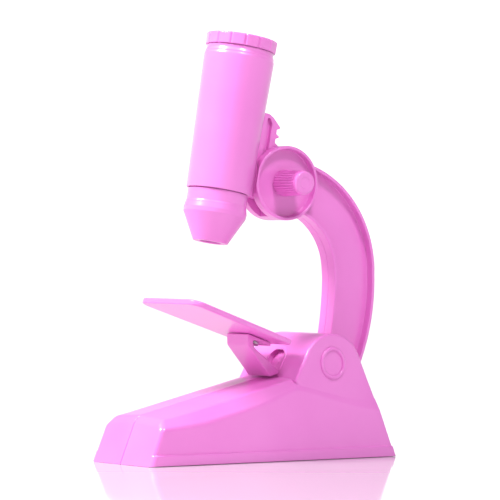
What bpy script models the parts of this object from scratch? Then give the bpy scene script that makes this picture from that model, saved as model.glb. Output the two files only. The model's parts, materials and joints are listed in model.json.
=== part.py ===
"""Child's toy microscope: a two-part moulded base and arm, a fixed stage, and a tube that is racked up and down."""

import math

import bmesh
import bpy
from mathutils import Matrix, Vector

# All sizes are in millimetres and become metres through MM. In the side view a point is (y, z):
# y is measured backwards from the toe of the base, z upwards from the table.
MM = 0.001
TOTAL_LENGTH = 113.6
SEAM = 0.15
GAP = 0.3
WALL = 2.0

# Base: a wedge that rises to a rounded hump, split down the middle.
LIP_HALF_WIDTH = 21.1
LIP_HEIGHT = 4.0
SIDE_HALF_WIDTH = 20.3
RIDGE_START = (7.2, 17.6)
RIDGE_SLOPE = math.tan(math.radians(13.35))
FRONT_LEAN = 0.409
REAR_LEAN = 0.362
REAR_FOOT = 111.9
HUMP_CENTRE = (84.5, 35.5)
HUMP_RADII = (13.9, 12.0)
HUMP_FRONT_FOOT = (66.0, 30.2)
CHEEK_FRONT = (66.0, 19.6)
CHEEK_TAPER = 0.09
CHEEK_TWIST = 0.0046

# Tilt hinge: a steel pin through the hump and the foot of the arm.
PIN = (84.2, 36.3)
PIN_RADIUS = 1.6
PIN_HALF_LENGTH = 13.4
HINGE_BOSS_RADIUS = 4.4
HINGE_RING = (6.1, 4.6, 0.5)

# Arm: a C of I-section that carries the drum of the focusing drive.
ARM_CENTRE = (70.5, 70.7)
ARM_OUTER_RADIUS = 43.2
ARM_INNER_RADIUS = 24.0
ARM_HALF_WIDTH = 4.5
ARM_WEB = 1.2
ARM_FLANGE = 1.3
LOWER_OUTER_ARC = (33.7, 67.5, 80.0)
LOWER_INNER_ARC = (-39.8, 70.5, 134.5)
FOOT_RADIUS = 8.2
SLOT_HALF_WIDTH = 4.9

# Tube frame: origin at the bottom of the nose, z up the tube, y backwards from its axis.
TUBE_FOOT = (40.1, 82.3)
TUBE_TILT = math.radians(10.7)

# Focusing drive: pinion in the drum, rack on the back of the tube.
MODULE = 1.1
TEETH = 10
PRESSURE_ANGLE = math.radians(28)
PITCH_RADIUS = MODULE * TEETH / 2
BACKLASH = 0.2
DRUM_BACK = 26.35
DRUM_UP = 27.8
DRUM_RADIUS = 14.2
DRUM_RIM = 1.2
DRUM_HALF_WIDTH = 6.5
DRUM_FLOOR = 3.5
RACK_HALF_WIDTH = 2.4
RACK_SPAN = (20.0, 52.7)
TOP_TOOTH = 48.3
SHAFT_RADIUS = 1.85
KNOB_SPAN = (3.9, 18.4)
KNOB_RADII = (4.95, 4.5)
KNURLS = 30

# Stage.
STAGE_TILT = math.radians(20)
STAGE_THICKNESS = 2.2
STAGE_FRONT = (20.8, 62.0)
STAGE_LENGTH = 48.5
STAGE_HALF_WIDTHS = (20.0, 17.0)
BRACKET_HALF_WIDTH = 7.3

# Body tube, nose and eyepiece: (radius, height) in the tube frame.
BODY_END = (12.2, 19.5)
BODY_TOP = (13.4, 70.3)
CROWN_LOBES = 15
CROWN_RADIUS = 13.6
CROWN_SPAN = (74.4, 78.9)

MANY_FACED = ("base_shell", "base_left", "base_right", "arm_half", "arm_left", "arm_right")

PINK = (0.90, 0.33, 0.78)
STEEL = (0.55, 0.56, 0.58)
CLEAR = (0.85, 0.92, 0.95)


def clear_scene():
    for obj in list(bpy.data.objects):
        bpy.data.objects.remove(obj, do_unlink=True)


def new_collection(name, hidden=False):
    collection = bpy.data.collections.new(name)
    collection.hide_render = hidden
    bpy.context.scene.collection.children.link(collection)
    return collection


def side_point(x, y, z):
    """A point of the side view as a vector in metres, with the origin under the middle of the object."""
    return Vector((x * MM, (y - TOTAL_LENGTH / 2) * MM, z * MM))


def tube_point(back, up):
    """A point of the tube frame as (y, z) of the side view."""
    y = TUBE_FOOT[0] + back * math.cos(TUBE_TILT) + up * math.sin(TUBE_TILT)
    z = TUBE_FOOT[1] - back * math.sin(TUBE_TILT) + up * math.cos(TUBE_TILT)
    return y, z


DRUM = tube_point(DRUM_BACK, DRUM_UP)


def cheek(y, z):
    """Half width of the hump: it narrows towards the back, and more so towards its top."""
    taper = CHEEK_TAPER + CHEEK_TWIST * (max(z, 19.0) - 36.0)
    return CHEEK_FRONT[1] - taper * (y - CHEEK_FRONT[0])


def ridge(y):
    return RIDGE_START[1] + (y - RIDGE_START[0]) * RIDGE_SLOPE


def arc(centre, radius, start, end, steps):
    """Points along an arc of the side view, from start to end in degrees."""
    points = []
    for step in range(steps + 1):
        angle = math.radians(start + (end - start) * step / steps)
        points.append((centre[0] + radius * math.cos(angle), centre[1] + radius * math.sin(angle)))
    return points


# ---- building shapes ----


def link(name, mesh, collection):
    mesh.shade_smooth()
    mesh.set_sharp_from_angle(angle=math.radians(32))
    obj = bpy.data.objects.new(name, mesh)
    collection.objects.link(obj)
    if collection is cutters:
        obj.display_type = "WIRE"
        obj.hide_render = True
    return obj


def plate(name, outline, x_from, x_to, collection):
    """A side-view outline given thickness from x_from to x_to."""
    curve = bpy.data.curves.new(name, "CURVE")
    curve.dimensions = "2D"
    curve.fill_mode = "BOTH"
    curve.extrude = (x_to - x_from) / 2 * MM
    spline = curve.splines.new("POLY")
    spline.points.add(len(outline) - 1)
    for point, (y, z) in zip(spline.points, outline):
        point.co = (y * MM, z * MM, 0, 1)
    spline.use_cyclic_u = True
    flat = bpy.data.objects.new(name, curve)
    bpy.context.scene.collection.objects.link(flat)
    graph = bpy.context.evaluated_depsgraph_get()
    mesh = bpy.data.meshes.new_from_object(flat.evaluated_get(graph))
    bpy.data.objects.remove(flat)
    middle = side_point((x_from + x_to) / 2, 0, 0)
    upright = Matrix(((0, 0, 1, middle.x), (1, 0, 0, middle.y), (0, 1, 0, middle.z), (0, 0, 0, 1)))
    mesh.transform(upright)
    tidy(mesh)
    return link(name, mesh, collection)


def tidy(mesh):
    bm = bmesh.new()
    bm.from_mesh(mesh)
    bmesh.ops.remove_doubles(bm, verts=bm.verts, dist=1e-7)
    bmesh.ops.recalc_face_normals(bm, faces=bm.faces)
    bm.to_mesh(mesh)
    bm.free()


def loft(name, rings, collection):
    """A closed solid through rings of equal length, each a list of (x, y, z) of its own frame in mm."""
    bm = bmesh.new()
    rows = [[bm.verts.new(Vector(point) * MM) for point in ring] for ring in rings]
    for low, high in zip(rows, rows[1:]):
        for index in range(len(low)):
            after = (index + 1) % len(low)
            bm.faces.new((low[index], low[after], high[after], high[index]))
    bm.faces.new(rows[0])
    bm.faces.new(rows[-1])
    bmesh.ops.recalc_face_normals(bm, faces=bm.faces)
    mesh = bpy.data.meshes.new(name)
    bm.to_mesh(mesh)
    bm.free()
    return link(name, mesh, collection)


def rod(name, radius, x_from, x_to, centre, collection, sides=28):
    """A cylinder across the object, centred on a side-view point."""
    bm = bmesh.new()
    depth = (x_to - x_from) * MM
    bmesh.ops.create_cone(
        bm, cap_ends=True, segments=sides, radius1=radius * MM, radius2=radius * MM, depth=depth
    )
    middle = side_point((x_from + x_to) / 2, *centre)
    bm.transform(Matrix.Translation(middle) @ Matrix.Rotation(math.radians(90), 4, "Y"))
    mesh = bpy.data.meshes.new(name)
    bm.to_mesh(mesh)
    bm.free()
    return link(name, mesh, collection)


def block(name, low, high, collection):
    """A block between two corners (x, y, z) of its own frame, in mm."""
    bm = bmesh.new()
    bmesh.ops.create_cube(bm, size=1)
    start = Vector(low) * MM
    size = Vector(high) * MM - start
    bm.transform(Matrix.Translation(start + size / 2) @ Matrix.Diagonal((*size, 1)))
    mesh = bpy.data.meshes.new(name)
    bm.to_mesh(mesh)
    bm.free()
    return link(name, mesh, collection)


def box(name, low, high, collection):
    """A block between two corners (x, y, z) of the side view."""
    obj = block(name, low, high, collection)
    obj.data.transform(Matrix.Translation(side_point(0, 0, 0)))
    return obj


def turned(name, profile, collection, steps=36, closed=True):
    """A profile of (radius, height) in mm turned about z; it runs down the outside first."""
    mesh = bpy.data.meshes.new(name)
    count = len(profile)
    edges = [(index, index + 1) for index in range(count - 1)]
    if closed:
        edges.append((count - 1, 0))
    mesh.from_pydata([(radius * MM, 0, height * MM) for radius, height in profile], edges, [])
    obj = link(name, mesh, collection)
    screw = obj.modifiers.new("turn", "SCREW")
    screw.steps = steps
    screw.render_steps = steps
    screw.use_merge_vertices = True
    screw.merge_threshold = 1e-6
    screw.use_smooth_shade = True
    return obj


def boolean(target, other, operation):
    modifier = target.modifiers.new(f"{operation.lower()} {other.name}", "BOOLEAN")
    modifier.operation = operation
    modifier.object = other
    # The shells' many faces on the seam plane leave open edges in the exact solver.
    if target.name in MANY_FACED:
        modifier.solver = "MANIFOLD"
    return target


def cut(target, *others):
    for other in others:
        boolean(target, other, "DIFFERENCE")
    return target


def join(target, *others):
    for other in others:
        boolean(target, other, "UNION")
    return target


def baked(name, source, collection, mirrored=False):
    """A plain mesh of the evaluated source, with its place in its mesh, mirrored across the seam if asked."""
    graph = bpy.context.evaluated_depsgraph_get()
    mesh = bpy.data.meshes.new_from_object(source.evaluated_get(graph))
    mesh.transform(source.matrix_world)
    if mirrored:
        mesh.transform(Matrix.Scale(-1, 4, (1, 0, 0)))
        mesh.flip_normals()
    return link(name, mesh, collection)


def finish(obj, colour, roughness, metallic=0.0):
    material = bpy.data.materials.new(obj.name)
    material.use_nodes = True
    shader = material.node_tree.nodes["Principled BSDF"]
    shader.inputs["Base Color"].default_value = (*colour, 1)
    shader.inputs["Roughness"].default_value = roughness
    shader.inputs["Metallic"].default_value = metallic
    obj.data.materials.clear()
    obj.data.materials.append(material)
    return obj


def axis_empty(name, location, tilt=0.0, parent=None):
    empty = bpy.data.objects.new(name, None)
    parts.objects.link(empty)
    empty.empty_display_size = 0.01
    empty.rotation_euler.x = tilt
    empty.location = location
    if parent:
        hang(empty, parent)
    return empty


def hang(obj, parent):
    """Parents obj and keeps it where it is."""
    bpy.context.view_layer.update()
    obj.parent = parent
    obj.matrix_parent_inverse = parent.matrix_world.inverted()


# ---- screws ----


def screw(name, head, shank, length, place):
    """A pan-head screw with a cross recess. Its shank runs along the place's z, its head sits below z = 0."""
    head_radius, head_height = head
    profile = [
        (0, length),
        (shank * 0.5, length),
        (shank, length - shank),
        (shank, 0),
        (head_radius, 0),
        (head_radius, -head_height * 0.6),
        (head_radius * 0.75, -head_height),
        (0, -head_height),
    ]
    body = turned(name, profile, parts, steps=16, closed=False)
    body.matrix_world = place
    reach = head_radius * 0.62
    width = head_radius * 0.14
    for index, (x, y) in enumerate(((reach, width), (width, reach))):
        low = (-x, -y, -head_height * 1.5)
        high = (x, y, -head_height * 0.45)
        recess = block(f"{name}_recess_{index}", low, high, cutters)
        recess.matrix_world = place
        cut(body, recess)
    return finish(body, STEEL, 0.35, 1.0)


def from_left(x, centre):
    """The frame of a screw driven from the left side, with its head's underside at x."""
    return Matrix.Translation(side_point(x, *centre)) @ Matrix.Rotation(math.radians(90), 4, "Y")


# ---- base ----

WEDGE_STATIONS = (  # y, side crease height
    (14.0, 13.9),
    (24.0, 14.9),
    (36.0, 17.8),
    (49.5, 21.2),
    (63.0, 26.2),
)
HUMP_STATIONS = ((67.5, 27.6), (77.0, 25.3), (93.6, 20.8))
REAR_CREASE = 18.9
TOP_HALF_WIDTH = 16.5
CROWN_DROP = 1.0
FRONT_CORNER = 2.2


def wedge_ring(inset, spot, widths, heights, lean=0.0):
    """Half a cross-section: lip, side, crease, top edge and ridge. The spot is y at the table."""
    lip, side, crease, top = widths
    crease_z, top_z, ridge_z = heights
    seam = SEAM if inset == 0 else -1.0
    lip_z = LIP_HEIGHT if inset == 0 else LIP_HEIGHT + 0.5
    points = [
        (seam, inset),
        (lip, inset),
        (lip, lip_z),
        (side, lip_z + 0.01),
        (crease, crease_z),
        (top, top_z),
        (seam, ridge_z),
    ]
    return [(x, spot + lean * z - TOTAL_LENGTH / 2, z) for x, z in points]


def wedge_rings(inset):
    lip = LIP_HALF_WIDTH - inset
    if inset:
        lip = SIDE_HALF_WIDTH - inset + 0.05
    side = SIDE_HALF_WIDTH - inset
    crease = SIDE_HALF_WIDTH - 0.2 - inset
    top = TOP_HALF_WIDTH - 0.6 * inset
    drop = 0.4 * inset
    start = 1.1 * inset
    low_corner = (lip - 2.5, side - 1.7, crease - 1.7, top - 1.1)
    rings = [
        wedge_ring(inset, start, low_corner, (12.6 - drop, 14.6 - inset, 15.2 - inset), FRONT_LEAN),
        wedge_ring(
            inset,
            start + FRONT_CORNER,
            (lip, side, crease, top),
            (13.6 - drop, 16.7 - inset, 17.5 - inset),
            FRONT_LEAN,
        ),
    ]
    for y, crease_z in WEDGE_STATIONS:
        top_z = ridge(y) - inset
        heights = (crease_z - drop, top_z - CROWN_DROP, top_z)
        rings.append(wedge_ring(inset, y, (lip, side, crease, top), heights))
    for y, crease_z in HUMP_STATIONS:
        inner = cheek(y, crease_z) - inset
        heights = (crease_z - drop, crease_z + 0.35 - drop, crease_z + 1.0 - drop)
        rings.append(wedge_ring(inset, y, (lip, side, inner + 0.3, inner - 1.0), heights))
    inner = cheek(REAR_FOOT - REAR_LEAN * REAR_CREASE, REAR_CREASE) - inset
    heights = (REAR_CREASE - drop, REAR_CREASE + 0.3 - drop, REAR_CREASE + 0.6 - drop)
    rear_foot = REAR_FOOT - 1.06 * inset
    rings.append(
        wedge_ring(inset, rear_foot, (lip, side, inner + 0.3, inner - 1.0), heights, -REAR_LEAN)
    )
    return rings


def hump_outline(inset):
    """Front slope, rounded top and rear slope of the hump."""
    radii = (HUMP_RADII[0] - inset, HUMP_RADII[1] - inset)
    outline = [(HUMP_FRONT_FOOT[0] + 1.13 * inset, HUMP_FRONT_FOOT[1] if inset == 0 else 22.0)]
    if inset:
        outline.append((HUMP_FRONT_FOOT[0] + 1.13 * inset, HUMP_FRONT_FOOT[1]))
    for angle in range(156, 15, -14):
        turn = math.radians(angle)
        outline.append(
            (HUMP_CENTRE[0] + radii[0] * math.cos(turn), HUMP_CENTRE[1] + radii[1] * math.sin(turn))
        )
    foot_z = 14.6
    outline.append((REAR_FOOT - 0.2 - REAR_LEAN * foot_z - 1.06 * inset, foot_z))
    outline.append((74.0, foot_z))
    return outline


def hump(name, inset, seam, collection):
    """The hump's half: its outline, with the cheek drawn in towards the back."""
    body = plate(name, hump_outline(inset), seam, 10.0, collection)
    bm = bmesh.new()
    bm.from_mesh(body.data)
    cuts = [((0, 1, 0), side_point(0, y, 0)) for y in (74.0, 82.0, 90.0, 98.0)]
    cuts += [((0, 0, 1), side_point(0, 0, z)) for z in (22.0, 29.0, 36.0, 42.0)]
    for normal, spot in cuts:  # a grid of cells, so the cheek can twist
        geometry = bm.verts[:] + bm.edges[:] + bm.faces[:]
        bmesh.ops.bisect_plane(bm, geom=geometry, plane_co=spot, plane_no=normal)
    for vertex in bm.verts:
        if vertex.co.x > 5 * MM:
            y = vertex.co.y / MM + TOTAL_LENGTH / 2
            vertex.co.x = (cheek(y, vertex.co.z / MM) - inset) * MM
    bmesh.ops.triangulate(bm, faces=bm.faces)
    bm.to_mesh(body.data)
    bm.free()
    return body


def along_cheek(obj, end, offset):
    """Lays the end of a rod, at x = end, onto the cheek's plane at the hinge pin."""
    middle = cheek(*PIN)
    slope_y = (cheek(PIN[0] + 1, PIN[1]) - cheek(PIN[0] - 1, PIN[1])) / 2
    slope_z = (cheek(PIN[0], PIN[1] + 1) - cheek(PIN[0], PIN[1] - 1)) / 2
    for vertex in obj.data.vertices:
        if abs(vertex.co.x - end * MM) < 1 * MM:
            y = vertex.co.y / MM + TOTAL_LENGTH / 2 - PIN[0]
            z = vertex.co.z / MM - PIN[1]
            vertex.co.x = (middle + slope_y * y + slope_z * z + offset) * MM
    return obj


BASE_SCREWS = {  # (y, z) and how far the boss reaches towards the side wall
    "front": (17.0, 9.0, 18.9),
    "middle": (50.0, 14.0, 18.9),
    "rear": (101.0, 9.0, 18.7),
    "throat": (72.5, 21.0, 18.4),
}
BASE_BOSS_RADIUS = 3.4
SCREW_PILOT = 1.6
BASE_HEAD = (2.6, 1.8)
BASE_HEAD_SEAT = 12.0
BASE_SHANK = 1.3
TAB_X = (2.4, 6.4)
TAB_Y = (63.4, 65.2)


def build_base():
    shell = loft("base_shell", wedge_rings(0), cutters)
    join(shell, hump("hump_outer", 0, SEAM, cutters))
    outer, inner, height = HINGE_RING
    join(shell, along_cheek(rod("hinge_ring", outer, 14.5, 20.0, PIN, cutters, 40), 20.0, height))
    dish = rod("hinge_ring_dish", inner, 14.0, 22.0, PIN, cutters, 40)
    cut(shell, along_cheek(dish, 14.0, 0.0))
    cut(shell, loft("base_cavity", wedge_rings(WALL), cutters))
    cut(shell, hump("hump_cavity", WALL, -1.0, cutters))
    join(shell, rod("hinge_boss", HINGE_BOSS_RADIUS, SLOT_HALF_WIDTH, 16.2, PIN, cutters))
    cut(shell, rod("hinge_bore", PIN_RADIUS + GAP, 0, PIN_HALF_LENGTH + GAP, PIN, cutters))
    for name, (y, z, reach) in BASE_SCREWS.items():
        join(shell, rod(f"{name}_boss", BASE_BOSS_RADIUS, SEAM, reach, (y, z), cutters, 20))
    slot_high = (SLOT_HALF_WIDTH, 125.0, 60.0)
    cut(shell, box("arm_slot", (-1.0, 88.5, 19.0), slot_high, cutters))
    cut(shell, box("front_opening", (-1.0, 60.0, 33.6), (5.0, 76.0, 41.2), cutters))
    tab_low = (TAB_X[0] - GAP, TAB_Y[0] - GAP, 26.0)
    cut(shell, box("tab_slot", tab_low, (TAB_X[1] + GAP, TAB_Y[1] + GAP, 36.0), cutters))

    right = baked("base_right", shell, parts)
    left = baked("base_left", shell, parts, mirrored=True)
    for name, (y, z, _) in BASE_SCREWS.items():
        centre = (y, z)
        cut(right, rod(f"{name}_pilot", SCREW_PILOT, -1, 9.0, centre, cutters, 16))
        cut(left, rod(f"{name}_hole", SCREW_PILOT, -16, 1, centre, cutters, 16))
        head_hole = rod(f"{name}_seat", BASE_HEAD[0] + 0.5, -30, -BASE_HEAD_SEAT, centre, cutters, 20)
        cut(left, head_hole)
        screw(
            f"base_screw_{name}",
            BASE_HEAD,
            BASE_SHANK,
            BASE_HEAD_SEAT + 8.0,
            from_left(-BASE_HEAD_SEAT - GAP, centre),
        )
    for half in (right, left):
        finish(half, PINK, 0.3)
    pin = rod("hinge_pin", PIN_RADIUS, -PIN_HALF_LENGTH, PIN_HALF_LENGTH, PIN, parts, 20)
    finish(pin, STEEL, 0.3, 1.0)


# ---- stage ----

BRACKET_TOP = (52.4, 47.85)
FLANGE_LENGTH = 10.6
STAGE_SCREW = (57.8, 3.6)


def rounded_outline(front_half, rear_half, length, corner, rear_corner, steps=6):
    """Plan of the stage plate, front edge at y = 0, as (x, y) in mm."""
    right = []
    for step in range(steps + 1):
        angle = math.radians(-90 + 90 * step / steps)
        centre = (front_half - corner, corner)
        right.append((centre[0] + corner * math.cos(angle), centre[1] + corner * math.sin(angle)))
    for step in range(steps + 1):
        angle = math.radians(90 * step / steps)
        centre = (rear_half - rear_corner, length - rear_corner)
        right.append(
            (centre[0] + rear_corner * math.cos(angle), centre[1] + rear_corner * math.sin(angle))
        )
    return right + [(-x, y) for x, y in reversed(right)]


def build_stage():
    frame = Matrix.Translation(side_point(0, *STAGE_FRONT)) @ Matrix.Rotation(-STAGE_TILT, 4, "X")
    outline = rounded_outline(*STAGE_HALF_WIDTHS, STAGE_LENGTH, 4.7, 1.5)
    rings = [[(x, y, z) for x, y in outline] for z in (-STAGE_THICKNESS, 0)]
    top = loft("stage_plate", rings, parts)
    top.matrix_world = frame

    (flange_y, flange_z) = BRACKET_TOP
    slope = math.tan(STAGE_TILT)
    flange_end = (flange_y + FLANGE_LENGTH, flange_z - slope * FLANGE_LENGTH)
    outline = [
        (flange_y, flange_z),
        (52.5, 43.3),
        (62.5, 31.35),
        (66.2, 32.2),
        (66.6, 33.4),
        (55.6, 42.3),
        (54.5, 43.6),
        (54.2, flange_z - slope * (54.2 - flange_y) - 1.3),
        (flange_end[0], flange_end[1] - 1.3),
        flange_end,
    ]
    bracket = plate("stage_bracket", outline, -BRACKET_HALF_WIDTH, BRACKET_HALF_WIDTH, parts)
    for side in (-1, 1):
        xs = sorted(side * x for x in TAB_X)
        tab = box(f"tab_{side}", (xs[0], TAB_Y[0], 27.4), (xs[1], TAB_Y[1], 33.0), cutters)
        join(bracket, tab)
    down = Matrix.Rotation(-STAGE_TILT, 4, "X")
    for label, side in (("left", -1), ("right", 1)):
        y, x = STAGE_SCREW
        under = flange_z - slope * (y - flange_y) - 1.3
        place = Matrix.Translation(side_point(side * x, y, under - 0.3)) @ down
        hole = turned(f"stage_hole_{label}", [(0, 9), (1.2, 9), (1.2, -9), (0, -9)], cutters, 16, False)
        hole.matrix_world = place
        cut(bracket, hole)
        pilot_profile = [(0, 3.3), (1.2, 3.3), (1.2, -9), (0, -9)]
        pilot = turned(f"stage_pilot_{label}", pilot_profile, cutters, 16, False)
        pilot.matrix_world = place
        cut(top, pilot)
        screw(f"stage_screw_{label}", (1.9, 1.1), 0.85, 2.9, place)
    finish(top, PINK, 0.3)
    finish(bracket, PINK, 0.3)


# ---- arm ----


def lower_arc(definition, z_from, z_to, steps):
    """Points of one of the arm's slow lower arcs between two heights."""
    y, z, radius = definition
    points = []
    for step in range(steps + 1):
        height = z_from + (z_to - z_from) * step / steps
        points.append((y + math.sqrt(radius**2 - (height - z) ** 2), height))
    return points


def arm_outline():
    outline = arc(ARM_CENTRE, ARM_OUTER_RADIUS, 80, 4, 14)
    outline += lower_arc(LOWER_OUTER_ARC, 69.0, 28.0, 8)
    outline += arc(PIN, FOOT_RADIUS, -62, -308, 16)
    outline += lower_arc(LOWER_INNER_ARC, 46.0, 68.0, 4)
    outline += arc(ARM_CENTRE, ARM_INNER_RADIUS, 2, 95, 14)
    return outline


def arm_pocket():
    """The recess between the flanges of the I-section."""
    outer = (LOWER_OUTER_ARC[0], LOWER_OUTER_ARC[1], LOWER_OUTER_ARC[2] - ARM_FLANGE)
    inner = (LOWER_INNER_ARC[0], LOWER_INNER_ARC[1], LOWER_INNER_ARC[2] + ARM_FLANGE)
    outline = arc(ARM_CENTRE, ARM_OUTER_RADIUS - ARM_FLANGE, 78, 4, 14)
    outline += lower_arc(outer, 69.0, 41.0, 6)
    outline += lower_arc(inner, 41.0, 68.0, 5)
    outline += arc(ARM_CENTRE, ARM_INNER_RADIUS + ARM_FLANGE, 2, 92, 14)
    return outline


def drum_screws():
    """Where the arm halves are screwed together: (centre, head seat x)."""
    spots = {}
    for label, angle in (("drum_upper", 42), ("drum_lower", -48)):
        turn = math.radians(angle)
        reach = 9.8
        centre = (DRUM[0] + reach * math.cos(turn), DRUM[1] + reach * math.sin(turn))
        spots[label] = (centre, DRUM_FLOOR - 1.4)
    spots["foot"] = ((96.5, 36.0), ARM_HALF_WIDTH - 1.6)
    return spots


def build_arm(pivot, tube_frame):
    half = plate("arm_half", arm_outline(), SEAM, ARM_HALF_WIDTH, cutters)
    cut(half, plate("arm_pocket", arm_pocket(), ARM_WEB, 9.0, cutters))
    join(half, rod("drum", DRUM_RADIUS, SEAM, DRUM_HALF_WIDTH, DRUM, cutters, 48))
    cut(half, rod("drum_dish", DRUM_RADIUS - DRUM_RIM, DRUM_FLOOR, 9.0, DRUM, cutters, 48))
    join(half, rod("shaft_boss", 3.4, 1.0, DRUM_FLOOR + 1.0, DRUM, cutters, 20))
    cut(half, rod("pinion_room", 7.2, -1.0, RACK_HALF_WIDTH + GAP, DRUM, cutters, 32))
    channel = block(
        "rack_channel", (-RACK_HALF_WIDTH - GAP, 0, 0), (RACK_HALF_WIDTH + GAP, 22.4, 60), cutters
    )
    channel.matrix_world = tube_frame
    clearance = turned("tube_clearance", [(0, 60), (14.0, 60), (14.0, 0), (0, 0)], cutters, 48, False)
    clearance.matrix_world = tube_frame
    cut(half, channel, clearance)
    cut(half, rod("shaft_bore", SHAFT_RADIUS + GAP, -1.0, 9.0, DRUM, cutters, 24))
    cut(half, rod("foot_bore", PIN_RADIUS + GAP, -1.0, 9.0, PIN, cutters, 24))
    right = baked("arm_right", half, parts)
    left = baked("arm_left", half, parts, mirrored=True)
    for label, (centre, seat) in drum_screws().items():
        cut(right, rod(f"arm_{label}_pilot", 1.15, -1.0, 2.7, centre, cutters, 16))
        cut(left, rod(f"arm_{label}_hole", 1.15, -9.0, 1.0, centre, cutters, 16))
        cut(left, rod(f"arm_{label}_seat", 2.3, -9.0, -seat, centre, cutters, 20))
        place = from_left(-seat - GAP, centre)
        hang(screw(f"arm_screw_{label}", (1.9, 1.0), 0.85, seat + 2.3, place), pivot)
    for piece in (right, left):
        hang(finish(piece, PINK, 0.3), pivot)


# ---- focusing drive ----


def involute(radius):
    return math.tan(radius) - radius


def pinion_outline():
    """Ten involute teeth about (0, 0), with a space facing angle 0."""
    base = PITCH_RADIUS * math.cos(PRESSURE_ANGLE)
    tip = PITCH_RADIUS + MODULE
    root = PITCH_RADIUS - 1.25 * MODULE
    half_tooth = (math.pi * MODULE / 2 - BACKLASH) / (2 * PITCH_RADIUS)
    flank = []
    for step in range(5):
        radius = base + (tip - base) * step / 4
        roll = math.acos(min(1.0, base / radius))
        flank.append((radius, half_tooth + involute(PRESSURE_ANGLE) - involute(roll)))
    flank.insert(0, (root, flank[0][1] + 0.03))
    points = []
    for tooth in range(TEETH):
        centre = 2 * math.pi * (tooth + 0.5) / TEETH
        shape = [(radius, -angle) for radius, angle in flank]
        shape += [(radius, angle) for radius, angle in reversed(flank)]
        points += [(radius * math.cos(centre + a), radius * math.sin(centre + a)) for radius, a in shape]
    return points


def tooth_heights():
    """Middles of the rack's teeth along the tube, from the top one down."""
    pitch = math.pi * MODULE
    heights = []
    height = TOP_TOOTH
    while height > RACK_SPAN[0] + 2.4:
        heights.append(height)
        height -= pitch
    return heights


def rack_outline():
    """Side view of the rack in the tube frame, (back, up)."""
    low, high = RACK_SPAN
    pitch_line = DRUM_BACK - PITCH_RADIUS
    tip = pitch_line + MODULE
    root = pitch_line - 1.25 * MODULE
    half_pitch = math.pi * MODULE / 4 - BACKLASH / 2
    half_tip = half_pitch - MODULE * math.tan(PRESSURE_ANGLE)
    half_root = half_pitch + 1.25 * MODULE * math.tan(PRESSURE_ANGLE)
    outline = [(body_radius(low) + GAP, low), (18.0, low), (root, low + 1.0)]
    for height in reversed(tooth_heights()[1:]):
        outline.append((root, height - half_root))
        outline.append((tip, height - half_tip))
        outline.append((tip, height + half_tip))
        outline.append((root, height + half_root))
    outline.append((root, TOP_TOOTH - half_root))
    outline.append((tip, TOP_TOOTH - half_tip))
    outline.append((tip, TOP_TOOTH + half_tip * 0.4))
    outline.append((18.4, high - 1.1))
    outline.append((16.2, high))
    outline.append((body_radius(high) + GAP, high))
    return outline


def body_radius(height):
    share = (height - BODY_END[1]) / (BODY_TOP[1] - BODY_END[1])
    return BODY_END[0] + (BODY_TOP[0] - BODY_END[0]) * share


def in_tube_frame(points):
    """Outline points (back, up) of the tube frame as side-view points."""
    return [tube_point(back, up) for back, up in points]


def build_rack(axis):
    half = RACK_HALF_WIDTH
    rack = plate("focus_rack", in_tube_frame(rack_outline()), -half, half, parts)
    low, high = RACK_SPAN
    pocket = [(14.4, low + 1.6), (17.4, low + 1.6), (18.1, low + 2.4), (18.1, high - 3.4)]
    pocket += [(16.6, high - 1.6), (15.0, high - 1.6)]
    for side in (-1, 1):
        xs = sorted((side * 0.8, side * 4.0))
        cut(rack, plate(f"rack_pocket_{side}", in_tube_frame(pocket), *xs, cutters))
    hang(finish(rack, PINK, 0.3), axis)
    return rack


def knurled(radius, depth):
    points = []
    for index in range(KNURLS * 2):
        angle = math.pi * index / KNURLS
        reach = radius - (depth if index % 2 else 0)
        points.append((reach * math.cos(angle), reach * math.sin(angle)))
    return points


def build_knob(name, side, axis):
    """A knurled knob with a smooth rounded end, on one end of the shaft."""
    base, tip = KNOB_RADII
    low, high = KNOB_SPAN
    smooth_from = high - 1.6
    steps = (
        (low, base, 0.28),
        (smooth_from, tip + 0.1, 0.28),
        (smooth_from + 0.05, tip, 0.0),
        (high - 1.0, tip - 0.1, 0.0),
        (high - 0.3, tip - 0.5, 0.0),
        (high, tip - 1.3, 0.0),
    )
    rings = []
    for x, radius, depth in steps:
        ring = knurled(radius, depth)
        rings.append([(side * x, DRUM[0] - TOTAL_LENGTH / 2 + y, DRUM[1] + z) for y, z in ring])
    knob = loft(name, rings, parts)
    ends = sorted((side * (low - 1), side * (low + 1.1)))
    cut(knob, rod(f"{name}_mouth", 3.8, *ends, DRUM, cutters, 20))
    ends = sorted((side * (low - 1), side * (high - 2.0)))
    cut(knob, rod(f"{name}_bore", SHAFT_RADIUS + GAP, *ends, DRUM, cutters, 20))
    hang(finish(knob, PINK, 0.32), axis)


def build_drive(axis):
    shaft_end = KNOB_SPAN[1] - 2.4
    shaft = rod("focus_shaft", SHAFT_RADIUS, -shaft_end, shaft_end, DRUM, parts, 20)
    hang(finish(shaft, STEEL, 0.3, 1.0), axis)
    offset = min((height - DRUM_UP for height in tooth_heights()), key=abs)
    # The space at angle 0 is turned to face the rack, then rolled to meet the rack's nearest tooth.
    turn = math.pi - TUBE_TILT - offset / PITCH_RADIUS
    outline = []
    for y, z in pinion_outline():
        outline.append(
            (
                DRUM[0] + y * math.cos(turn) - z * math.sin(turn),
                DRUM[1] + y * math.sin(turn) + z * math.cos(turn),
            )
        )
    pinion = plate("pinion", outline, -RACK_HALF_WIDTH, RACK_HALF_WIDTH, parts)
    cut(pinion, rod("pinion_bore", SHAFT_RADIUS + GAP, -9, 9, DRUM, cutters, 20))
    hang(finish(pinion, PINK, 0.4), axis)
    build_knob("knob_right", 1, axis)
    build_knob("knob_left", -1, axis)


# ---- tube, nose and eyepiece ----

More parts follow.
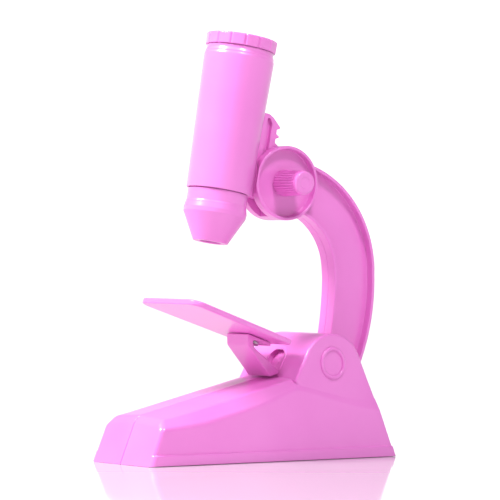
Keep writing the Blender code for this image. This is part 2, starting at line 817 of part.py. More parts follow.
BODY_BORE = 10.6
SKIRT_BORE = 11.6
SKIRT_FROM = 65.8


def lens_profile(radius, low, high, bulge):
    """A biconvex lens: rim from low to high, each face bulging past the rim."""
    profile = []
    for step in range(5):
        share = step / 4
        profile.append((radius * share, high + bulge * (1 - share**2)))
    for step in range(4, -1, -1):
        share = step / 4
        profile.append((radius * share, low - bulge * (1 - share**2)))
    return profile


def in_tube(obj, axis, tube_frame):
    obj.matrix_world = tube_frame
    hang(obj, axis)
    return obj


def build_tube(axis, tube_frame):
    body_profile = [
        (12.75, CROWN_SPAN[0] - GAP),
        (12.75, 73.4),
        (13.1, 72.2),
        (13.3, 71.2),
        BODY_TOP,
        BODY_END,
        (BODY_BORE, BODY_END[1]),
        (BODY_BORE, SKIRT_FROM),
        (SKIRT_BORE, SKIRT_FROM),
        (SKIRT_BORE, CROWN_SPAN[0] - GAP),
    ]
    body = in_tube(turned("body_tube", body_profile, parts, 40), axis, tube_frame)
    rack = build_rack(axis)
    for label, height in (("lower", 31.0), ("upper", 47.0)):
        inner = Matrix.Translation((0, (BODY_BORE - GAP) * MM, height * MM))
        place = tube_frame @ inner @ Matrix.Rotation(math.radians(-90), 4, "X")
        hole = turned(f"rack_hole_{label}", [(0, 9), (1.2, 9), (1.2, -3), (0, -3)], cutters, 16, False)
        hole.matrix_world = place
        cut(body, hole)
        hole = turned(f"rack_pilot_{label}", [(0, 4.2), (1.2, 4.2), (1.2, 0), (0, 0)], cutters, 16, False)
        hole.matrix_world = place
        cut(rack, hole)
        hang(screw(f"rack_screw_{label}", (1.9, 1.1), 0.85, 3.8, place), axis)
    finish(body, PINK, 0.3)

    nose_profile = [
        (10.3, 27.0),
        (10.3, 19.2),
        (11.1, 19.2),
        (11.1, 13.9),
        (11.5, 13.3),
        (11.95, 12.4),
        (12.15, 11.4),
        (11.9, 10.5),
        (6.6, 0.2),
        (6.4, 0.0),
        (4.2, 0.0),
        (4.2, 1.6),
        (5.2, 1.6),
        (5.2, 8.0),
        (8.8, 10.5),
        (8.8, 27.0),
    ]
    nose = in_tube(turned("objective_nose", nose_profile, parts, 36), axis, tube_frame)
    finish(nose, PINK, 0.3)
    lens = turned("objective_lens", lens_profile(4.9, 2.6, 3.6, 0.65), parts, 24, False)
    finish(in_tube(lens, axis, tube_frame), CLEAR, 0.05)
    ring_profile = [(4.9, 6.6), (4.9, 4.0), (3.6, 4.0), (3.2, 6.6)]
    ring = turned("objective_retainer", ring_profile, parts, 24)
    finish(in_tube(ring, axis, tube_frame), PINK, 0.4)


def lobed(radius, height, groove):
    """The crown's outline: broad lobes parted by narrow grooves."""
    points = []
    lobe = 2 * math.pi / CROWN_LOBES
    for index in range(CROWN_LOBES):
        middle = index * lobe
        for offset, depth in ((-0.5, groove), (-0.42, 0.0), (0.0, -0.05), (0.42, 0.0)):
            angle = middle + offset * lobe
            reach = radius - depth
            points.append((reach * math.cos(angle), reach * math.sin(angle), height))
    return points


def build_eyepiece(axis, tube_frame):
    low, high = CROWN_SPAN
    rings = [
        lobed(CROWN_RADIUS - 0.45, low, 0.5),
        lobed(CROWN_RADIUS - 0.1, low + 0.35, 0.5),
        lobed(CROWN_RADIUS - 0.05, high - 0.7, 0.5),
        lobed(CROWN_RADIUS - 0.7, high, 0.3),
    ]
    crown = loft("eyepiece_ring", rings, parts)
    skirt_profile = [(11.2, low + 1.0), (11.2, 67.0), (10.1, 67.0), (10.1, low + 1.0)]
    skirt = turned("eyepiece_skirt", skirt_profile, cutters, 36)
    eye_profile = [(0, high + 1), (9.6, high + 1), (9.6, high), (7.6, high - 1.8), (7.6, low + 0.8)]
    eye_profile += [(10.1, low + 0.8), (10.1, low - 3), (0, low - 3)]
    eye = turned("eyepiece_opening", eye_profile, cutters, 36, False)
    for tool in (skirt, eye):
        tool.matrix_world = tube_frame
    crown.matrix_world = tube_frame
    join(crown, skirt)
    cut(crown, eye)
    hang(finish(crown, PINK, 0.3), axis)
    lens = turned("eyepiece_lens", lens_profile(9.75, 72.6, 74.0, 0.8), parts, 32, False)
    finish(in_tube(lens, axis, tube_frame), CLEAR, 0.05)
    ring_profile = [(9.75, 71.5), (9.75, 69.0), (8.2, 69.0), (8.6, 71.5)]
    ring = turned("eyepiece_retainer", ring_profile, parts, 32)
    finish(in_tube(ring, axis, tube_frame), PINK, 0.4)


clear_scene()
parts = new_collection("kids_microscope")
cutters = new_collection("cutters", hidden=True)
tilt_axis = axis_empty("tilt_axis", side_point(0, *PIN))
focus_axis = axis_empty("focus_axis", side_point(0, *DRUM), parent=tilt_axis)
tube_axis = axis_empty("tube_axis", side_point(0, *TUBE_FOOT), -TUBE_TILT, tilt_axis)
eyepiece_axis = axis_empty("eyepiece_axis", side_point(0, *tube_point(0, CROWN_SPAN[0])), -TUBE_TILT, tube_axis)
bpy.context.view_layer.update()
tube_frame = tube_axis.matrix_world.copy()

build_base()
build_stage()
build_arm(tilt_axis, tube_frame)
build_drive(focus_axis)
build_tube(tube_axis, tube_frame)
build_eyepiece(eyepiece_axis, tube_frame)
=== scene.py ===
import json
import math

import bmesh
import bpy
import numpy as np
from mathutils import Matrix, Vector


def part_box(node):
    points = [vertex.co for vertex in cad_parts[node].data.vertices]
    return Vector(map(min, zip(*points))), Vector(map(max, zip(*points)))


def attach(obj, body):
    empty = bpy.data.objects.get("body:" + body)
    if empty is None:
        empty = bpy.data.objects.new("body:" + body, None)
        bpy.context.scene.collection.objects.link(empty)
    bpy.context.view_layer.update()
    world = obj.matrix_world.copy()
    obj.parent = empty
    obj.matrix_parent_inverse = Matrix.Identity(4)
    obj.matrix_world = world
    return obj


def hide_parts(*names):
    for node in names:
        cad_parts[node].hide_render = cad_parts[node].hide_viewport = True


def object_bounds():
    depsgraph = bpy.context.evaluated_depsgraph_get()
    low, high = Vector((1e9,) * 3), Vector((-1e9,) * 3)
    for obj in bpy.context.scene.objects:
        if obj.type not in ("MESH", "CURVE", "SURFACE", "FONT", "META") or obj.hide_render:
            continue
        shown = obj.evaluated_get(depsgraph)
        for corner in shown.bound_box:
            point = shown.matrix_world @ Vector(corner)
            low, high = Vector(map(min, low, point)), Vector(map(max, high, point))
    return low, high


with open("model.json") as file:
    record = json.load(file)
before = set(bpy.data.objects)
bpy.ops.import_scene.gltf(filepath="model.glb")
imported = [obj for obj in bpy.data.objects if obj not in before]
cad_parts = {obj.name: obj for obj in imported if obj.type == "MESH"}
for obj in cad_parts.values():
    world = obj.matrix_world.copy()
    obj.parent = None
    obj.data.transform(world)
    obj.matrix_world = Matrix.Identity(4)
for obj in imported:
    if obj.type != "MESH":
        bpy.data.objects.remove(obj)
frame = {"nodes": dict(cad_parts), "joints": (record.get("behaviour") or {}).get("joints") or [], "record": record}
cadLow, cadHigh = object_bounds()

mm = 0.001
joints = {joint["name"]: joint for joint in frame["joints"]}
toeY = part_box("base_right")[0].y  # the front of the base, from which side views are measured
pinSpot = Vector(joints["arm_tilt"]["pos_m"])
drumSpot = Vector(joints["focus_turn"]["pos_m"])
crownSpot = Vector(joints["eyepiece_turn"]["pos_m"])
tubeUp = Vector(joints["tube_slide"]["axis"]).normalized()


# places: a side view point is (y, z) in mm from the toe, a tube point is (back, up) from the nose's tip
def sidePlace(y, z, x):
    return Vector((x * mm, toeY + y * mm, z * mm))


tubeBack = Vector((0, tubeUp.z, -tubeUp.y))
crownLow = 74.4
noseTip = crownSpot - tubeUp * crownLow * mm
tubeFrame = Matrix.Translation(noseTip) @ Matrix((Vector((1, 0, 0)), tubeBack, tubeUp)).transposed().to_4x4()


def tubePlace(back, up, x):
    return tubeFrame @ (Vector((x, back, up)) * mm)


def inSide(point):
    return ((point.y - toeY) / mm, point.z / mm)


pin = inSide(pinSpot)
drum = inSide(drumSpot)
drumBack = (drumSpot - noseTip).dot(tubeBack) / mm


# outlines
def arc(centre, radius, start, end, steps):
    turns = [math.radians(start + (end - start) * step / steps) for step in range(steps + 1)]
    return [(centre[0] + radius * math.cos(turn), centre[1] + radius * math.sin(turn)) for turn in turns]


def rounded(points, steps=5, closed=True):
    # each point is (a, b) or (a, b, radius); a corner with a radius becomes an arc
    result = []
    count = len(points)
    for index, point in enumerate(points):
        corner = Vector(point[:2])
        radius = point[2] if len(point) > 2 else 0
        if not radius or (not closed and index in (0, count - 1)):
            result.append(tuple(corner))
            continue
        before = Vector(points[index - 1][:2]) - corner
        after = Vector(points[(index + 1) % count][:2]) - corner
        half = before.angle(after, math.pi) / 2
        reach = min(radius / math.tan(half), 0.48 * before.length, 0.48 * after.length)
        start = corner + before.normalized() * reach
        end = corner + after.normalized() * reach
        centre = corner + (before.normalized() + after.normalized()).normalized() * reach / math.cos(half)
        for step in range(steps + 1):
            share = step / steps
            chord = start.lerp(end, share) - centre
            size = (start - centre).length
            result.append(tuple(centre + slerp(start - centre, end - centre, share) * size if chord.length else start))
    return result


def slerp(a, b, share):
    a = a.normalized()
    b = b.normalized()
    angle = a.angle(b, 0)
    if angle < 1e-5:
        return a
    return (a * math.sin((1 - share) * angle) + b * math.sin(share * angle)) / math.sin(angle)


def area(loop):
    return sum(a[0] * b[1] - b[0] * a[1] for a, b in zip(loop, loop[1:] + loop[:1])) / 2


def inward(loop, amount):
    # the loop moved into the material, which lies on its left
    moved = []
    for before, here, after in zip(loop[-1:] + loop[:-1], loop, loop[1:] + loop[:1]):
        a = Vector((here[0] - before[0], here[1] - before[1])).normalized()
        b = Vector((after[0] - here[0], after[1] - here[1])).normalized()
        side = Vector((-a.y - b.y, a.x + b.x)).normalized()
        stretch = max(side.dot(Vector((-a.y, a.x))), 0.5)
        moved.append((here[0] + side.x * amount / stretch, here[1] + side.y * amount / stretch))
    return moved


def roundEdges(low, high, lowRadius, highRadius, steps=4):
    # (height, inset) from one face of a plate to the other
    profile = []
    for step in range(steps + 1):
        turn = math.pi / 2 * step / steps
        profile.append((low + lowRadius * (1 - math.cos(turn)), lowRadius * (1 - math.sin(turn))))
    for step in range(steps + 1):
        turn = math.pi / 2 * step / steps
        profile.append((high - highRadius * (1 - math.sin(turn)), highRadius * (1 - math.cos(turn))))
    return profile


# solids
def newObject(name, bm):
    mesh = bpy.data.meshes.new(name)
    bmesh.ops.remove_doubles(bm, verts=bm.verts, dist=2e-7)
    bmesh.ops.recalc_face_normals(bm, faces=bm.faces)
    bm.to_mesh(mesh)
    bm.free()
    obj = bpy.data.objects.new(name, mesh)
    bpy.context.scene.collection.objects.link(obj)
    return obj


def plate(name, loops, profile, place):
    # a flat shape with rounded edges; the first loop is its outline, the others are holes
    bm = bmesh.new()
    ends = [[], []]
    for index, loop in enumerate(loops):
        if (area(loop) > 0) != (index == 0):
            loop = loop[::-1]
        rows = []
        for height, inset in profile:
            outline = inward(loop, inset) if inset else loop
            rows.append([bm.verts.new(place(u, v, height)) for u, v in outline])
        for low, high in zip(rows, rows[1:]):
            for spot in range(len(low)):
                after = (spot + 1) % len(low)
                bm.faces.new((low[spot], low[after], high[after], high[spot]))
        ends[0].append(rows[0])
        ends[1].append(rows[-1])
    for rows in ends:
        if len(rows) == 1:
            bm.faces.new(rows[0])
            continue
        edges = []
        for row in rows:
            edges += [bm.edges.get((row[spot], row[(spot + 1) % len(row)])) for spot in range(len(row))]
        bmesh.ops.triangle_fill(bm, edges=edges, use_beauty=True)
    return newObject(name, bm)


def lathe(name, profile, place, steps=96, across=False):
    # a closed profile of (radius, height) turned about the height axis
    bm = bmesh.new()
    rows = []
    for radius, height in profile:
        row = []
        for step in range(1 if radius < 1e-6 else steps):
            turn = 2 * math.pi * step / steps
            spot = (radius * math.cos(turn), radius * math.sin(turn))
            row.append(bm.verts.new(place(spot[0], spot[1], height) if across else place(spot[1], height, spot[0])))
        rows.append(row)
    for low, high in zip(rows, rows[1:] + rows[:1]):
        if len(low) == 1 and len(high) == 1:
            continue
        for step in range(steps):
            after = (step + 1) % steps
            corners = [low[step % len(low)], low[after % len(low)], high[after % len(high)], high[step % len(high)]]
            corners = [corner for spot, corner in enumerate(corners) if corner not in corners[:spot]]
            bm.faces.new(corners)
    return newObject(name, bm)


def blockBetween(name, low, high, place):
    bm = bmesh.new()
    bmesh.ops.create_cube(bm, size=1)
    for vertex in bm.verts:
        share = vertex.co + Vector((0.5, 0.5, 0.5))
        spot = [low[axis] + (high[axis] - low[axis]) * share[axis] for axis in range(3)]
        vertex.co = place(spot[1], spot[2], spot[0])
    return newObject(name, bm)


def combine(target, operation, *others):
    for other in others:
        modifier = target.modifiers.new(operation, "BOOLEAN")
        modifier.operation = operation
        modifier.object = other
        modifier.solver = "MANIFOLD"
        settle(target)
        bpy.data.objects.remove(other)
    return target


def join(target, *others):
    return combine(target, "UNION", *others)


def cut(target, *others):
    return combine(target, "DIFFERENCE", *others)


def settle(obj):
    # the object's modifiers become its plain mesh
    bpy.context.view_layer.update()
    graph = bpy.context.evaluated_depsgraph_get()
    mesh = bpy.data.meshes.new_from_object(obj.evaluated_get(graph))
    obj.modifiers.clear()
    obj.data = mesh
    return obj


def mirrored(obj, name):
    copy = obj.copy()
    copy.data = obj.data.copy()
    copy.name = name
    copy.data.transform(Matrix.Scale(-1, 4, (1, 0, 0)))
    copy.data.flip_normals()
    bpy.context.scene.collection.objects.link(copy)
    return copy


def finishPiece(obj, body, nodes, material, sharp=32):
    # smooth shading that keeps flat faces flat, then the piece is tied to its body
    bm = bmesh.new()
    bm.from_mesh(obj.data)
    bmesh.ops.remove_doubles(bm, verts=bm.verts, dist=3e-6)
    bmesh.ops.dissolve_degenerate(bm, edges=bm.edges, dist=1e-6)
    bm.to_mesh(obj.data)
    bm.free()
    obj.data.shade_smooth()
    obj.data.set_sharp_from_angle(angle=math.radians(sharp))
    weighted = obj.modifiers.new("weighted", "WEIGHTED_NORMAL")
    weighted.keep_sharp = True
    settle(obj)
    obj.data.materials.clear()
    obj.data.materials.append(material)
    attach(obj, body)
    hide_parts(*nodes)
    return obj


# plastic, steel and lens materials
pinkLook = {
    "colour": (0.83, 0.205, 0.67),
    "pale": (0.86, 0.235, 0.70),
    "roughness": (0.26, 0.34),
    "patch": 38.0,
    "grain": 1900.0,
    "grainDepth": 0.012,
}


def newMaterial(name):
    material = bpy.data.materials.new(name)
    material.use_nodes = True
    tree = material.node_tree
    return material, tree, tree.nodes["Principled BSDF"], addNode(tree, "ShaderNodeTexCoord")


def wire(source, output, target, entry):
    target.id_data.links.new(source.outputs[output], target.inputs[entry])


def addNode(tree, kind, **values):
    node = tree.nodes.new(kind)
    for name, value in values.items():
        if hasattr(node, name):
            setattr(node, name, value)
        else:
            node.inputs[name.replace("_", " ")].default_value = value
    return node


def twoTones(tree, dark, light, start=0.0, end=1.0):
    ramp = addNode(tree, "ShaderNodeValToRGB")
    for element, position, colour in zip(ramp.color_ramp.elements, (start, end), (dark, light)):
        element.position = position
        element.color = (*colour, 1)
    return ramp


def pinkPlastic(name, offset):
    # moulded plastic: faint cloudy patches, a satin skin with fine grain, a glossy coat
    material, tree, shader, place = newMaterial(name)
    shift = addNode(tree, "ShaderNodeMapping", Location=(offset * 0.037, offset * 0.021, offset * 0.013))
    patches = addNode(tree, "ShaderNodeTexNoise", Scale=pinkLook["patch"], Detail=3.0, Roughness=0.5)
    grain = addNode(tree, "ShaderNodeTexNoise", Scale=pinkLook["grain"], Detail=2.0, Roughness=0.55)
    colour = twoTones(tree, pinkLook["colour"], pinkLook["pale"], 0.3, 0.72)
    smooth, rough = pinkLook["roughness"]
    skin = addNode(tree, "ShaderNodeMapRange", To_Min=smooth, To_Max=rough)
    bump = addNode(tree, "ShaderNodeBump", Strength=pinkLook["grainDepth"] * 10, Distance=0.00002)
    wire(place, "Object", shift, "Vector")
    for noise in (patches, grain):
        wire(shift, "Vector", noise, "Vector")
    wire(patches, "Fac", colour, "Fac")
    wire(patches, "Fac", skin, "Value")
    wire(grain, "Fac", bump, "Height")
    wire(colour, "Color", shader, "Base Color")
    wire(skin, "Result", shader, "Roughness")
    wire(bump, "Normal", shader, "Normal")
    shader.inputs["Coat Weight"].default_value = 0.35
    shader.inputs["Coat Roughness"].default_value = 0.12
    shader.inputs["IOR"].default_value = 1.5
    return material


def steelLook(name, offset):
    material, tree, shader, place = newMaterial(name)
    stretch = addNode(tree, "ShaderNodeMapping", Location=(offset * 0.02, 0, 0), Scale=(300, 2500, 2500))
    lines = addNode(tree, "ShaderNodeTexNoise", Scale=1.0, Detail=3.0)
    tone = twoTones(tree, (0.42, 0.43, 0.45), (0.62, 0.63, 0.65))
    skin = addNode(tree, "ShaderNodeMapRange", To_Min=0.22, To_Max=0.4)
    wire(place, "Object", stretch, "Vector")
    wire(stretch, "Vector", lines, "Vector")
    wire(lines, "Fac", tone, "Fac")
    wire(lines, "Fac", skin, "Value")
    wire(tone, "Color", shader, "Base Color")
    wire(skin, "Result", shader, "Roughness")
    shader.inputs["Metallic"].default_value = 1.0
    return material


def lensLook(name):
    material, tree, shader, place = newMaterial(name)
    haze = addNode(tree, "ShaderNodeTexNoise", Scale=60.0, Detail=2.0)
    skin = addNode(tree, "ShaderNodeMapRange", To_Min=0.02, To_Max=0.06)
    wire(place, "Object", haze, "Vector")
    wire(haze, "Fac", skin, "Value")
    wire(skin, "Result", shader, "Roughness")
    shader.inputs["Base Color"].default_value = (0.93, 0.96, 0.98, 1)
    shader.inputs["Transmission Weight"].default_value = 0.9
    shader.inputs["IOR"].default_value = 1.49
    return material


# geometry nodes
def newTree(name):
    tree = bpy.data.node_groups.new(name, "GeometryNodeTree")
    tree.interface.new_socket(name="Geometry", in_out="INPUT", socket_type="NodeSocketGeometry")
    tree.interface.new_socket(name="Geometry", in_out="OUTPUT", socket_type="NodeSocketGeometry")
    inlet = tree.nodes.new("NodeGroupInput")
    outlet = tree.nodes.new("NodeGroupOutput")
    return tree, inlet, outlet


def endTree(tree, inlet, outlet, source, output):
    # instances become real, take the material and leave the tree
    real = tree.nodes.new("GeometryNodeRealizeInstances")
    paint = tree.nodes.new("GeometryNodeSetMaterial")
    wire(source, output, real, "Geometry")
    wire(real, "Geometry", paint, "Geometry")
    wire(inlet, "material", paint, "Material")
    wire(paint, "Geometry", outlet, "Geometry")
    return tree


def addInput(tree, name, value, kind="NodeSocketFloat"):
    socket = tree.interface.new_socket(name=name, in_out="INPUT", socket_type=kind)
    if value is not None:
        socket.default_value = value
    return socket


def addSizes(tree, *sizes):
    for name, value in sizes:
        addInput(tree, name, value)
    addInput(tree, "material", None, "NodeSocketMaterial")


def runTree(obj, tree, values):
    modifier = obj.modifiers.new(tree.name, "NODES")
    modifier.node_group = tree
    for socket in tree.interface.items_tree:
        if socket.in_out == "INPUT" and socket.name in values:
            modifier[socket.identifier] = values[socket.name]
    return settle(obj)


def maths(tree, operation, first, second=None):
    node = tree.nodes.new("ShaderNodeMath")
    node.operation = operation
    for index, value in enumerate((first, second)):
        if value is None:
            continue
        if isinstance(value, (int, float)):
            node.inputs[index].default_value = value
        else:
            tree.links.new(value, node.inputs[index])
    return node.outputs[0]


# base
baseForm = {
    "seam": 0.04,
    "lip": (21.1, 4.0),
    "side": 20.3,
    "ridge": (7.2, 17.6, math.tan(math.radians(13.35))),
    "crownDrop": 1.0,
    "topHalfWidth": 16.5,
    "frontLean": 0.409,
    "frontTop": 18.2,
    "frontCrease": 13.6,
    "frontInset": (2.1, 3.0),
    "frontAdvance": 2.2,
    "rearFoot": 111.9,
    "rearLean": 0.362,
    "rearCrease": 18.9,
    "rearRound": 0.7,
    "creases": (
        (12, 13.8), (24, 14.9), (36, 17.8), (49.5, 21.2), (63, 26.2), (67.5, 27.6), (77, 25.3),
        (93.6, 20.8), (105, 18.9),
    ),
    "stations": (
        13.5, 17, 21, 25, 29, 33, 37, 41, 45, 49, 53, 57, 60, 62.5, 64.5, 66.2, 67.8, 70, 73, 77, 82, 88, 94, 99,
    ),
    "humpFrom": 67.0,
    "cheek": (66.0, 19.6, 0.09, 0.0046),
    "cheekCuts": ((74, 82, 90, 98), (22, 29, 36, 42)),
    "humpCentre": (84.5, 35.5),
    "humpRadii": (13.9, 12.0),
    "humpSweep": (156, 140),
    "humpHalf": 12.0,
    "humpFoot": (66.0, 30.2),
    "humpFloor": 14.6,
    "cheekRound": 1.1,
    "wall": 2.0,
    "ring": (6.2, 4.6, 0.85),
    "opening": (5.0, 33.6, 41.2),
    "rimProud": 0.45,
    "screen": (2.0, 3.2),
    "slot": (4.9, 88.5, 19.0),
}


def cheek(y, z):
    # half width of the hump, which narrows backwards and more so towards its top
    start, width, taper, twist = baseForm["cheek"]
    return width - (taper + twist * (max(z, 19) - 36)) * (y - start)


def ridgeAt(y):
    start, height, slope = baseForm["ridge"]
    return height + (y - start) * slope


def creaseAt(y):
    knots = baseForm["creases"]
    for (y0, z0), (y1, z1) in zip(knots, knots[1:]):
        if y <= y1 or y1 == knots[-1][0]:
            share = min(max((y - y0) / (y1 - y0), 0), 1)
            return z0 + (z1 - z0) * share


def wedgeSection(y, crease, top, tucked):
    # half a cross-section as (x, z), from the seam at the table round to the seam at the top
    seam = baseForm["seam"]
    lip, lipHeight = baseForm["lip"]
    side = baseForm["side"]
    corners = [(seam, 0.0), (lip, 0.0, 0.3), (lip, lipHeight, 0.4), (side, lipHeight, 0.3)]
    if tucked:
        width = cheek(y, crease)
        corners += [
            (width + 0.45, crease - 1.2, 4.0),
            (width + 0.03, crease + 0.7),
            (width - 0.6, crease + 3.4, 0.2),
            (seam, crease + 3.6, 0.1),
        ]
    else:
        topX = baseForm["topHalfWidth"]
        topZ = top - baseForm["crownDrop"]
        corners += [
            (side - 0.2, crease, 4.5),
            ((side - 0.2 + topX) / 2, (crease + topZ) / 2),
            (topX, topZ, 2.0),
            (seam, top, 0.35),
        ]
    return rounded(corners + [(seam, 8.0)], steps=5)[:-1]


def buildWedge():
    form = baseForm
    seam = form["seam"]
    rows = []
    outline = wedgeSection(12, form["frontCrease"], form["frontTop"], False)
    sideInset, topInset = form["frontInset"]
    sideX, topX = form["side"] - 0.2, form["topHalfWidth"]
    for step in range(7):
        turn = math.pi / 2 * step / 6
        row = []
        for x, z in outline:
            upward = min(max((sideX - x) / (sideX - topX), 0), 1)  # 0 on the side, 1 on the top
            inset = (1 - math.sin(turn)) * (sideInset + max(x - form["side"], 0)) * (1 - upward)
            advance = form["frontAdvance"] * (1 - math.cos(turn))
            if x < seam + 0.4:
                inset = -(1 - math.sin(turn)) * 0.3 * (1 - (x - seam) / 0.4)
            if x < seam + 0.01 and z < 1:
                advance *= 0.15
            drop = (1 - math.sin(turn)) * topInset * upward if z > 1 else 0
            drop += form["ridge"][2] * form["frontAdvance"] * math.cos(turn) * upward if z > 1 else 0
            height = z - drop
            row.append((x - inset, height * form["frontLean"] + advance, height))
        rows.append(row)
    for y in form["stations"]:
        section = wedgeSection(y, creaseAt(y), ridgeAt(y), y > form["humpFrom"])
        rows.append([(x, y, z) for x, z in section])
    rearY = form["rearFoot"] - form["rearLean"] * form["rearCrease"]
    outline = wedgeSection(rearY, form["rearCrease"], 0, True)
    for step in range(5):
        turn = math.pi / 2 * step / 4
        row = []
        for x, z in outline:
            inset = form["rearRound"] * (1 - math.cos(turn)) if x > seam + 1 else 0
            back = form["rearRound"] * (1 - math.sin(turn))
            row.append((x - inset, form["rearFoot"] - form["rearLean"] * z - back, z))
        rows.append(row)
    bm = bmesh.new()
    grid = [[bm.verts.new(sidePlace(y, z, x)) for x, y, z in row] for row in rows]
    for low, high in zip(grid, grid[1:]):
        for spot in range(len(low)):
            after = (spot + 1) % len(low)
            bm.faces.new((low[spot], low[after], high[after], high[spot]))
    bm.faces.new(grid[0])
    bm.faces.new(grid[-1])
    return newObject("wedge", bm)


def humpArc(radii, degrees):
    centreY, centreZ = baseForm["humpCentre"]
    turn = math.radians(degrees)
    return (centreY + radii[0] * math.cos(turn), centreZ + radii[1] * math.sin(turn))


def humpOutline(inset):
    form = baseForm
    footY, footZ = form["humpFoot"]
    radii = (form["humpRadii"][0] - inset, form["humpRadii"][1] - inset)
    outline = [(74.0, form["humpFloor"]), (footY + 1.13 * inset, footZ)]
    start, sweep = form["humpSweep"]
    outline += [humpArc(radii, start - sweep * step / 28) for step in range(29)]
    floor = form["humpFloor"]
    outline.append((form["rearFoot"] - 0.02 - form["rearLean"] * floor - 1.06 * inset, floor))
    return outline


def frontSlope(z):
    # y on the hump's front, between its foot and the start of its round top
    footY, footZ = baseForm["humpFoot"]
    topY, topZ = humpArc(baseForm["humpRadii"], baseForm["humpSweep"][0])
    return footY + (z - footZ) * (topY - footY) / (topZ - footZ)


def shearToCheek(obj, past, beyond):
    # cut into cells, then what lies past x moves to the twisted cheek, keeping its distance from beyond
    bm = bmesh.new()
    bm.from_mesh(obj.data)
    cuts = [((0, 1, 0), sidePlace(y, 0, 0)) for y in baseForm["cheekCuts"][0]]
    cuts += [((0, 0, 1), sidePlace(0, z, 0)) for z in baseForm["cheekCuts"][1]]
    for normal, spot in cuts:
        bmesh.ops.bisect_plane(bm, geom=bm.verts[:] + bm.edges[:] + bm.faces[:], plane_co=spot, plane_no=normal)
    for vertex in bm.verts:
        if vertex.co.x > past * mm:
            y, z = inSide(vertex.co)
            vertex.co.x += (cheek(y, z) - beyond) * mm
    bm.to_mesh(obj.data)
    bm.free()
    return obj


def archLoop(halfWidth, low, high, radius):
    corners = [(-halfWidth, low), (halfWidth, low), (halfWidth, high, radius), (-halfWidth, high, radius)]
    return rounded(corners, 6)


def aroundPin(a, b, h):
    return sidePlace(pin[0] + a, pin[1] + b, h)


def finishHalves(right, left, body, offset):
    for obj, side in ((right, "right"), (left, "left")):
        material = pinkPlastic(f"pink{body.title()}{side.title()}", offset)
        finishPiece(obj, body, [f"{body}_{side}"], material)
        offset += 1


def buildBase():
    form = baseForm
    shell = buildWedge()
    flat, inner = form["humpHalf"], form["humpHalf"] - form["wall"]
    hump = plate("hump", [humpOutline(0)], roundEdges(form["seam"], flat, 0.25, form["cheekRound"]), sidePlace)
    shearToCheek(hump, 6.0, flat)
    join(shell, hump)
    outside, inside, proud = form["ring"]
    middle, half = (outside + inside) / 2, (outside - inside) / 2
    bead = [(outside, inner)]
    for turn in range(0, 181, 18):
        across, out = math.cos(math.radians(turn)), math.sin(math.radians(turn))
        bead.append((middle + half * across, flat + 0.05 + proud * out))
    bead.append((inside, inner))
    ring = lathe("ring", bead, aroundPin, 72, across=True)
    shearToCheek(ring, 0, flat)
    join(shell, ring)
    hollow = plate("hollow", [humpOutline(form["wall"])], [(-2.0, 0), (inner, 0)], sidePlace)
    shearToCheek(hollow, 6.0, flat)
    halfWidth, low, high = form["opening"]
    inFront = lambda x, z, h: sidePlace(frontSlope(z) + h, z, x)
    arch = archLoop(halfWidth, low, high, 3.6)
    rimLoops = [archLoop(halfWidth + 1, low - 1, high + 1, 4.6), archLoop(halfWidth - 0.1, low - 0.9, high - 0.1, 3.5)]
    rim = plate("rim", rimLoops, roundEdges(-form["rimProud"], 1.75, 0.42, 0, 3), inFront)
    cut(rim, blockBetween("mirrorSide", (-9, 50, 20), (form["seam"], 90, 60), sidePlace))
    join(shell, rim)
    opening = plate("opening", [arch], [(60.0, 0), (77.0, 0)], lambda x, z, y: sidePlace(y, z, x))
    slotHalf, slotFront, slotFloor = form["slot"]
    slot = blockBetween("slot", (-2, slotFront, slotFloor), (slotHalf, 125, 60), sidePlace)
    cut(shell, hollow, opening, slot)
    side, bottom, top = halfWidth + 1.4, low - 1.3, high + 1.4  # a wall just inside the opening
    screen = [(form["seam"], bottom), (side, bottom), (side, top), (form["seam"], top)]
    join(shell, plate("screen", [screen], [(depth, 0) for depth in form["screen"]], inFront))
    left = mirrored(shell, "baseLeft")
    shell.name = "baseRight"
    finishHalves(shell, left, "base", 1)
    print("base halves", len(shell.data.polygons))


# stage
stageForm = {
    "tilt": 19.4,
    "front": (20.8, 61.5),
    "length": 48.5,
    "halfWidths": (20.0, 17.0),
    "corners": (4.7, 1.5),
    "thickness": 2.2,
    "edge": 0.75,
    "bracketHalfWidth": 7.3,
    "bracketEdge": 0.4,
}


def buildStage():
    form = stageForm
    tilt = math.radians(form["tilt"])
    front, rear = form["halfWidths"]
    frontCorner, rearCorner = form["corners"]
    length = form["length"]
    plan = [(-front, 0, frontCorner), (front, 0, frontCorner), (rear, length, rearCorner), (-rear, length, rearCorner)]

    def stagePlace(x, along, height):
        y = form["front"][0] + along * math.cos(tilt) + height * math.sin(tilt)
        z = form["front"][1] - along * math.sin(tilt) + height * math.cos(tilt)
        return sidePlace(y, z, x)

    edge = form["edge"]
    top = plate("stagePlate", [rounded(plan, 10)], roundEdges(-form["thickness"], 0, edge, edge, 5), stagePlace)
    finishPiece(top, "base", ["stage_plate"], pinkPlastic("pinkStage", 3))
    slope = math.tan(math.radians(20))
    flangeY, flangeZ, flangeLength = 52.4, 47.85, 10.6
    outline = [
        (flangeY, flangeZ, 0.5),
        (52.5, 43.3, 2.0),
        (62.5, 31.35, 0.5),
        (66.2, 32.2, 0.5),
        (66.6, 33.4, 0.5),
        (55.6, 42.3, 1.6),
        (54.2, flangeZ - slope * (54.2 - flangeY) - 1.3, 1.4),
        (flangeY + flangeLength, flangeZ - slope * flangeLength - 1.3, 0.5),
        (flangeY + flangeLength, flangeZ - slope * flangeLength, 0.5),
    ]
    half = form["bracketHalfWidth"]
    edge = form["bracketEdge"]
    bracket = plate("stageBracket", [rounded(outline, 5)], roundEdges(-half, half, edge, edge, 3), sidePlace)
    finishPiece(bracket, "base", ["stage_bracket"], pinkPlastic("pinkBracket", 4))
    print("stage")


